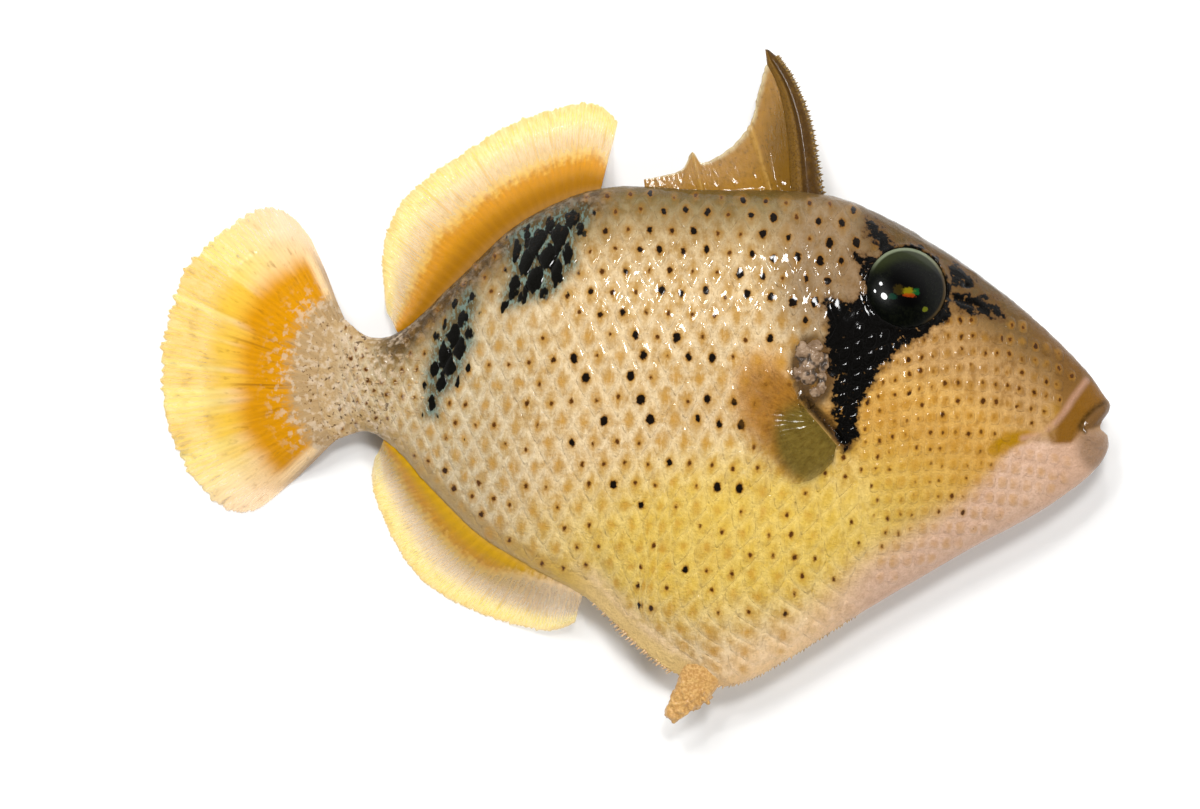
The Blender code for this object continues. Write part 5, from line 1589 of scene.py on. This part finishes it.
def spine_finish():
    f = Finish("spine_bone", Roughness=0.38, Specular_IOR_Level=0.2, Coat_Weight=0.3,
               Coat_Roughness=0.12)
    fine, broad = f.noise(0.2, 3), f.noise(0.9, 3)
    colour = f.mix(f.times(f.rise(fine, 0.45, 0.7), 0.6), f.read("tone", "Color"),
                   linear(54, 34, 6))
    colour = f.mix(f.times(f.rise(broad, 0.5, 0.75), 0.35), colour,
                   linear(112, 78, 18))
    f.set(Base_Color=colour, Normal=f.bump(f.plus(fine, broad), 0.1))
    return f.material


def point_finish(name, colour):
    f = Finish(name, Roughness=0.4, Coat_Weight=0.3, Coat_Roughness=0.12)
    tint = f.noise(0.3, 2)
    f.set(Base_Color=f.mix(f.rise(tint, 0.35, 0.65), colour, colour * 0.6),
          Normal=f.bump(tint, 0.04))
    return f.material


def spine_tubercles(material):
    """The small points down the front of the first spine, in three close rows."""
    chance = np.random.default_rng(SEED + 3)
    forms = []
    for row, turn in enumerate(TUBERCLE_TURNS):
        for t in np.linspace(*TUBERCLES_ALONG) + 0.012 * row:
            t = np.array(t)
            here, rear = curve_at(FIRST_SPINE_FRONT, t), curve_at(FIRST_SPINE_REAR, t)
            reach, half = (here - rear) / 2, np.interp(t, steps(4), FIRST_SPINE_HALF)
            flat = (here + rear) / 2 + reach * math.cos(turn)
            base = [*flat, MID_HEIGHT + half * math.sin(turn)]
            out = [*(unit(reach) * math.cos(turn)), 1.4 * math.sin(turn)]
            forms.append((base, out, chance.uniform(0.13, 0.2), chance.uniform(0.22, 0.34)))
    place(cones("spine_tubercles", forms, (0.1, 0.35, 0)), material, "spine")


KEEL_ROWS = [((9.4, 22.5), 44, 0.3), ((-2.6, 5.2), 26, 0.42)]


def keel_points(material):
    """Small points along the front of the keel and the edge of the belly flap."""
    chance = np.random.default_rng(SEED + 4)
    forms = []
    for span, count, size in KEEL_ROWS:
        for k in range(count):
            x = np.array(span[0] + (span[1] - span[0]) * (k + chance.uniform(0.2, 0.8)) / count)
            here, beyond = body_edge(BELLY, x, 0.12), body_edge(BELLY, x, -1.0)
            away = unit(beyond - here)
            base = [*here, mid_height(x) + chance.uniform(-0.3, 0.3)]
            out = [away[0] - 0.5, away[1], chance.uniform(-0.3, 0.5)]
            radius = chance.uniform(0.12, 0.19)
            forms.append((base, out, radius, size * chance.uniform(0.7, 1.3)))
    place(cones("keel_points", forms), material, "belly_skin")


SCUTES = [(16.0, 3.0, 1.25, 1.3, 0), (16.3, 1.2, 0.9, 0.9, 20), (17.4, 2.7, 0.55, 1.1, -5),
          (17.4, 0.9, 0.5, 1.1, 5), (15.2, 1.5, 0.55, 0.7, 0), (15.2, 4.0, 0.6, 0.5, 30),
          (16.6, 4.2, 0.7, 0.5, 10), (16.8, -0.1, 0.6, 0.5, 0)]


def scutes(tree, side, material):
    """The knobbly bony plates behind the gill opening."""
    made = []
    for x, y, wide, tall, tilt in SCUTES:
        here, normal, _, _ = tree.find_nearest(flank_points(x, y, side))
        here, normal, angle = np.array(here), np.array(normal), math.radians(tilt)
        turn = turn_to(normal, (math.cos(angle), math.sin(angle), 0))
        made.append(ball("scute", here - 0.04 * normal, (wide, tall, 0.32), turn, 44, 24))
    obj = made.pop()
    join(obj, made)
    points = points_of(obj.data)
    knobs = 0.26 * roughness_of(points, 0.7, 8) + 0.11 * roughness_of(points, 0.3, 9)
    set_points(obj.data, above_floor(points + normals_of(obj.data) * knobs[:, None]))
    # low marks the hollows between the knobs, which the finish paints near-black.
    set_fields(obj.data, low=-knobs)
    obj.name = "scutes_" + SIDE_NAMES[side]
    place(obj, material, "skin")


def scute_finish():
    f = Finish("scute", Roughness=0.42, Coat_Weight=0.4, Coat_Roughness=0.1)
    grain, broad = f.noise(0.25, 3), f.noise(0.8, 2)
    colour = f.mix(f.rise(broad, 0.35, 0.65), linear(154, 128, 102), linear(120, 94, 68))
    # Near-black in the hollows between the knobs: the plates' dark mottling, and painted shade in
    # those hollows.
    colour = f.mix(f.times(f.rise(f.read("low"), 0.0, 0.1), 0.9), colour,
                   linear(40, 26, 12))
    colour = f.mix(f.times(f.rise(grain, 0.55, 0.75), 0.4), colour, linear(96, 72, 48))
    f.set(Base_Color=colour, Normal=f.bump(f.plus(grain, broad), 0.12))
    return f.material


TAIL_ROWS, TAIL_ROW_POINTS, TAIL_ROW_STEP, TAIL_POINT_START = 5, 9, 1.25, -28.2


def tail_points(tree, material):
    """Rows of small spines on each side of the tail's root, bent towards the head."""
    chance = np.random.default_rng(SEED + 5)
    forms = []
    for side in SIDES:
        for k in range(TAIL_ROWS * TAIL_ROW_POINTS):
            row, column = divmod(k, TAIL_ROW_POINTS)
            x = TAIL_POINT_START + column + 0.5 * (row % 2) + chance.uniform(-0.3, 0.3)
            y = -1.4 + TAIL_ROW_STEP * (row - TAIL_ROWS // 2) + chance.uniform(-0.25, 0.25)
            here, normal, _, _ = tree.find_nearest(flank_points(x, y, side))
            out = [normal[0] + 0.8, normal[1], normal[2]]
            forms.append((list(here), out, chance.uniform(0.12, 0.17), chance.uniform(0.22, 0.34)))
    obj = cones("tail_points", forms, (0.4, 0, 0))
    set_points(obj.data, above_floor(points_of(obj.data)))
    place(obj, material, "skin")


# Eyes

def eye_finish():
    """A dark, wet eye: black pupil, dark olive iris, pale green rim above, clear gloss."""
    f = Finish("eye", Roughness=0.3, Specular_IOR_Level=0.05, Coat_Weight=0.45,
               Coat_Roughness=0.015)
    x, y, _ = f.split(f.read("local", "Vector"))
    away, grain = f.length(x, y), f.noise(0.3, 3)
    iris = f.mix(f.rise(grain, 0.35, 0.7), linear(2, 3, 2), linear(9, 11, 5))
    colour = f.mix(f.rise(away, 0.42, 0.56), linear(1, 1, 1), iris)
    upper = f.rise(f.times_plus(x, -0.1, y), 0.28, 0.7)
    olive = f.times(f.rise(away, 0.55, 0.86), upper)
    colour = f.mix(f.times(olive, 0.7), colour, linear(40, 46, 14))
    pale = f.times(f.rise(away, 0.9, 0.955), f.rise(y, 0.3, 0.75))
    colour = f.mix(f.times(pale, 0.85), colour, linear(122, 130, 104))
    ring = f.times(f.rise(away, 0.9, 0.97), f.rise(x, 0.35, 0.85))
    colour = f.mix(f.times(ring, 0.5), colour, linear(86, 66, 30))
    # Over the eye's colours goes a painted reflection: small iridescent patches.
    f.set(Base_Color=with_painted_reflection(f, colour, x, y, grain))
    return f.material


# Painted reflection in the eye: iridescent patches, each with its centre, radii, colour and
# strength.
EYE_PAINTED_REFLECTION = [((0.02, -0.1), (0.17, 0.1), linear(120, 108, 8), 0.85),
            ((0.22, -0.1), (0.09, 0.1), linear(8, 80, 34), 0.75),
            ((0.06, -0.2), (0.17, 0.05), linear(136, 48, 6), 0.8),
            ((-0.22, -0.08), (0.13, 0.13), linear(46, 36, 6), 0.8),
            ((-0.36, -0.26), (0.13, 0.08), linear(8, 52, 36), 0.7),
            ((0.47, -0.52), (0.07, 0.07), linear(96, 100, 20), 0.8)]


def with_painted_reflection(f, colour, x, y, grain):
    """A colour with a painted reflection over it: the inner eye's small iridescent yellow, green
    and orange patches.
    """
    for centre, radii, tint, strength in EYE_PAINTED_REFLECTION:
        dx, dy = (f.math("DIVIDE", f.minus(value, middle), radius)
                  for value, middle, radius in zip((x, y), centre, radii))
        away = f.plus(f.length(dx, dy), f.times_plus(grain, 1.6, -0.8))
        colour = f.mix(f.times(f.rise(away, 1.2, 0.7), strength), colour, tint)
    return colour


def eye(side, material):
    obj = eye_dome("eyeball_" + SIDE_NAMES[side], side)
    points = points_of(obj.data)
    local = np.column_stack([(points[:, :2] - EYE) / DOME_RADIUS, points[:, 2] * 0])
    set_fields(obj.data, local=local)
    points[:, 2] = np.maximum(points[:, 2], 0.02)
    set_points(obj.data, points)
    place(obj, material, "eye", "eye_" + SIDE_NAMES[side])


# Studio

CAMERA_AT = (-2.95, -2.35)
CAMERA_TURN = math.radians(3.2)
CAMERA_HEIGHT, LENS, SENSOR = 0.35, 109.16, 36.0
FLOOR_SIZE, FLOOR_COLOURS = 3.0, ((0.93, 0.93, 0.925), (0.9, 0.9, 0.895))
SKY_COLOUR = (1.0, 0.99, 0.97, 1)
# The height at which the sky's light starts and stops fading, and its strength at each.
SKY = (0.25, 0.85, 0.6, 0.03)
# Name, place, size and power of each lamp, and whether the wet skin mirrors it.
LAMPS = [("window", (-0.25, 0.42, 0.62), 0.3, 2.65, False),
         ("fill", (0.4, -0.3, 0.6), 0.4, 2.2, False),
         ("glint_back", (0.02, 0.1, 0.36), 0.058, 0.55, True),
         ("glint_high", (0.0, 0.19, 0.31), 0.03, 0.17, True),
         ("glint_left", (-0.07, 0.12, 0.32), 0.028, 0.15, True)]


def camera():
    data = bpy.data.cameras.new("camera")
    data.lens, data.sensor_width, data.clip_start = LENS, SENSOR, 0.01
    obj = bpy.data.objects.new("camera", data)
    bpy.context.scene.collection.objects.link(obj)
    x, y = (np.array(CAMERA_AT) + SHIFT[:2]) * MM
    obj.location = (x, y, CAMERA_HEIGHT)
    obj.rotation_euler = (0, 0, CAMERA_TURN)
    bpy.context.scene.camera = obj


def studio():
    half = FLOOR_SIZE / 2
    mesh = bpy.data.meshes.new("floor")
    mesh.from_pydata([(-half, -half, 0), (half, -half, 0), (half, half, 0), (-half, half, 0)],
                     [], [(0, 1, 2, 3)])
    floor = bpy.data.objects.new("floor", mesh)
    bpy.context.scene.collection.objects.link(floor)
    f = Finish("floor", Roughness=0.7)
    f.set(Base_Color=f.mix(f.noise(40, 2), *FLOOR_COLOURS))
    mesh.materials.append(f.material)
    world = bpy.data.worlds.new("world")
    bpy.context.scene.world = world
    world.use_nodes = True
    background = world.node_tree.nodes["Background"]
    nodes, links = world.node_tree.nodes, world.node_tree.links
    height = nodes.new("ShaderNodeSeparateXYZ")
    links.new(nodes.new("ShaderNodeTexCoord").outputs["Generated"], height.inputs[0])
    fade = nodes.new("ShaderNodeMapRange")
    fade.interpolation_type = "SMOOTHSTEP"
    links.new(height.outputs["Z"], fade.inputs["Value"])
    for name, value in zip(("From Min", "From Max", "To Min", "To Max"), SKY):
        fade.inputs[name].default_value = value
    background.inputs["Color"].default_value = SKY_COLOUR
    links.new(fade.outputs[0], background.inputs["Strength"])
    for settings in LAMPS:
        lamp(*settings)
    view = bpy.context.scene.view_settings
    view.view_transform, view.look = "Standard", "None"


def lamp(name, at, size, power, mirrored):
    """A round lamp that points at the fish."""
    data = bpy.data.lights.new(name, "AREA")
    data.shape, data.size, data.energy = "DISK", size, power
    obj = bpy.data.objects.new(name, data)
    obj.location, obj.visible_glossy = at, mirrored
    obj.rotation_euler = (-Vector(at)).to_track_quat("-Z", "Y").to_euler()
    bpy.context.scene.collection.objects.link(obj)


def build():
    camera()
    studio()
    skin = build_skin()
    tree = BVHTree.FromObject(skin, bpy.context.evaluated_depsgraph_get())
    skin_material = skin_finish()
    for side in SIDES:
        trunk_plates(tree, side, skin_material)
        head_plates(tree, side, skin_material)
    tail_points(tree, point_finish("tail_point", linear(196, 164, 118)))
    scute = scute_finish()
    for side in SIDES:
        scutes(tree, side, scute)
    finish_skin(skin, skin_material)
    fin, pectoral = fin_finish("fin"), fin_finish("pectoral", 0.2)
    soft_fin("soft_dorsal_fin", BACK, SOFT_DORSAL_X, SOFT_DORSAL_EDGE, fin, 0.47, (-0.2, 1.1))
    soft_fin("anal_fin", BELLY, ANAL_X, ANAL_EDGE, fin, 0.4, (0.12, 1.1))
    caudal_fin(fin)
    pectoral_fin("pectoral_fin_right", 1, pectoral)
    pectoral_fin("pectoral_fin_left", -1, pectoral)
    bone = spine_finish()
    first_spine(bone)
    spine_tubercles(point_finish("tubercle", linear(140, 108, 48)))
    spiny_membrane(fin_finish("spiny_membrane", 0.12))
    pelvic_stub(rough_finish())
    keel_points(point_finish("keel_point", linear(214, 178, 132)))
    eye_material = eye_finish()
    for side in SIDES:
        eye(side, eye_material)


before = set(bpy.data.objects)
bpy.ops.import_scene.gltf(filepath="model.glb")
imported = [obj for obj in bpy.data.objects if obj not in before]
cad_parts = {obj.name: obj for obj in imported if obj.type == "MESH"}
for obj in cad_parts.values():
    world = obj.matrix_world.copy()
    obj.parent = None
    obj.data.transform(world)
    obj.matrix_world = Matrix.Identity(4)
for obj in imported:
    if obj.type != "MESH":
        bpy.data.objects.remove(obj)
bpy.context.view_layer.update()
SHIFT = frame_shift()
build()
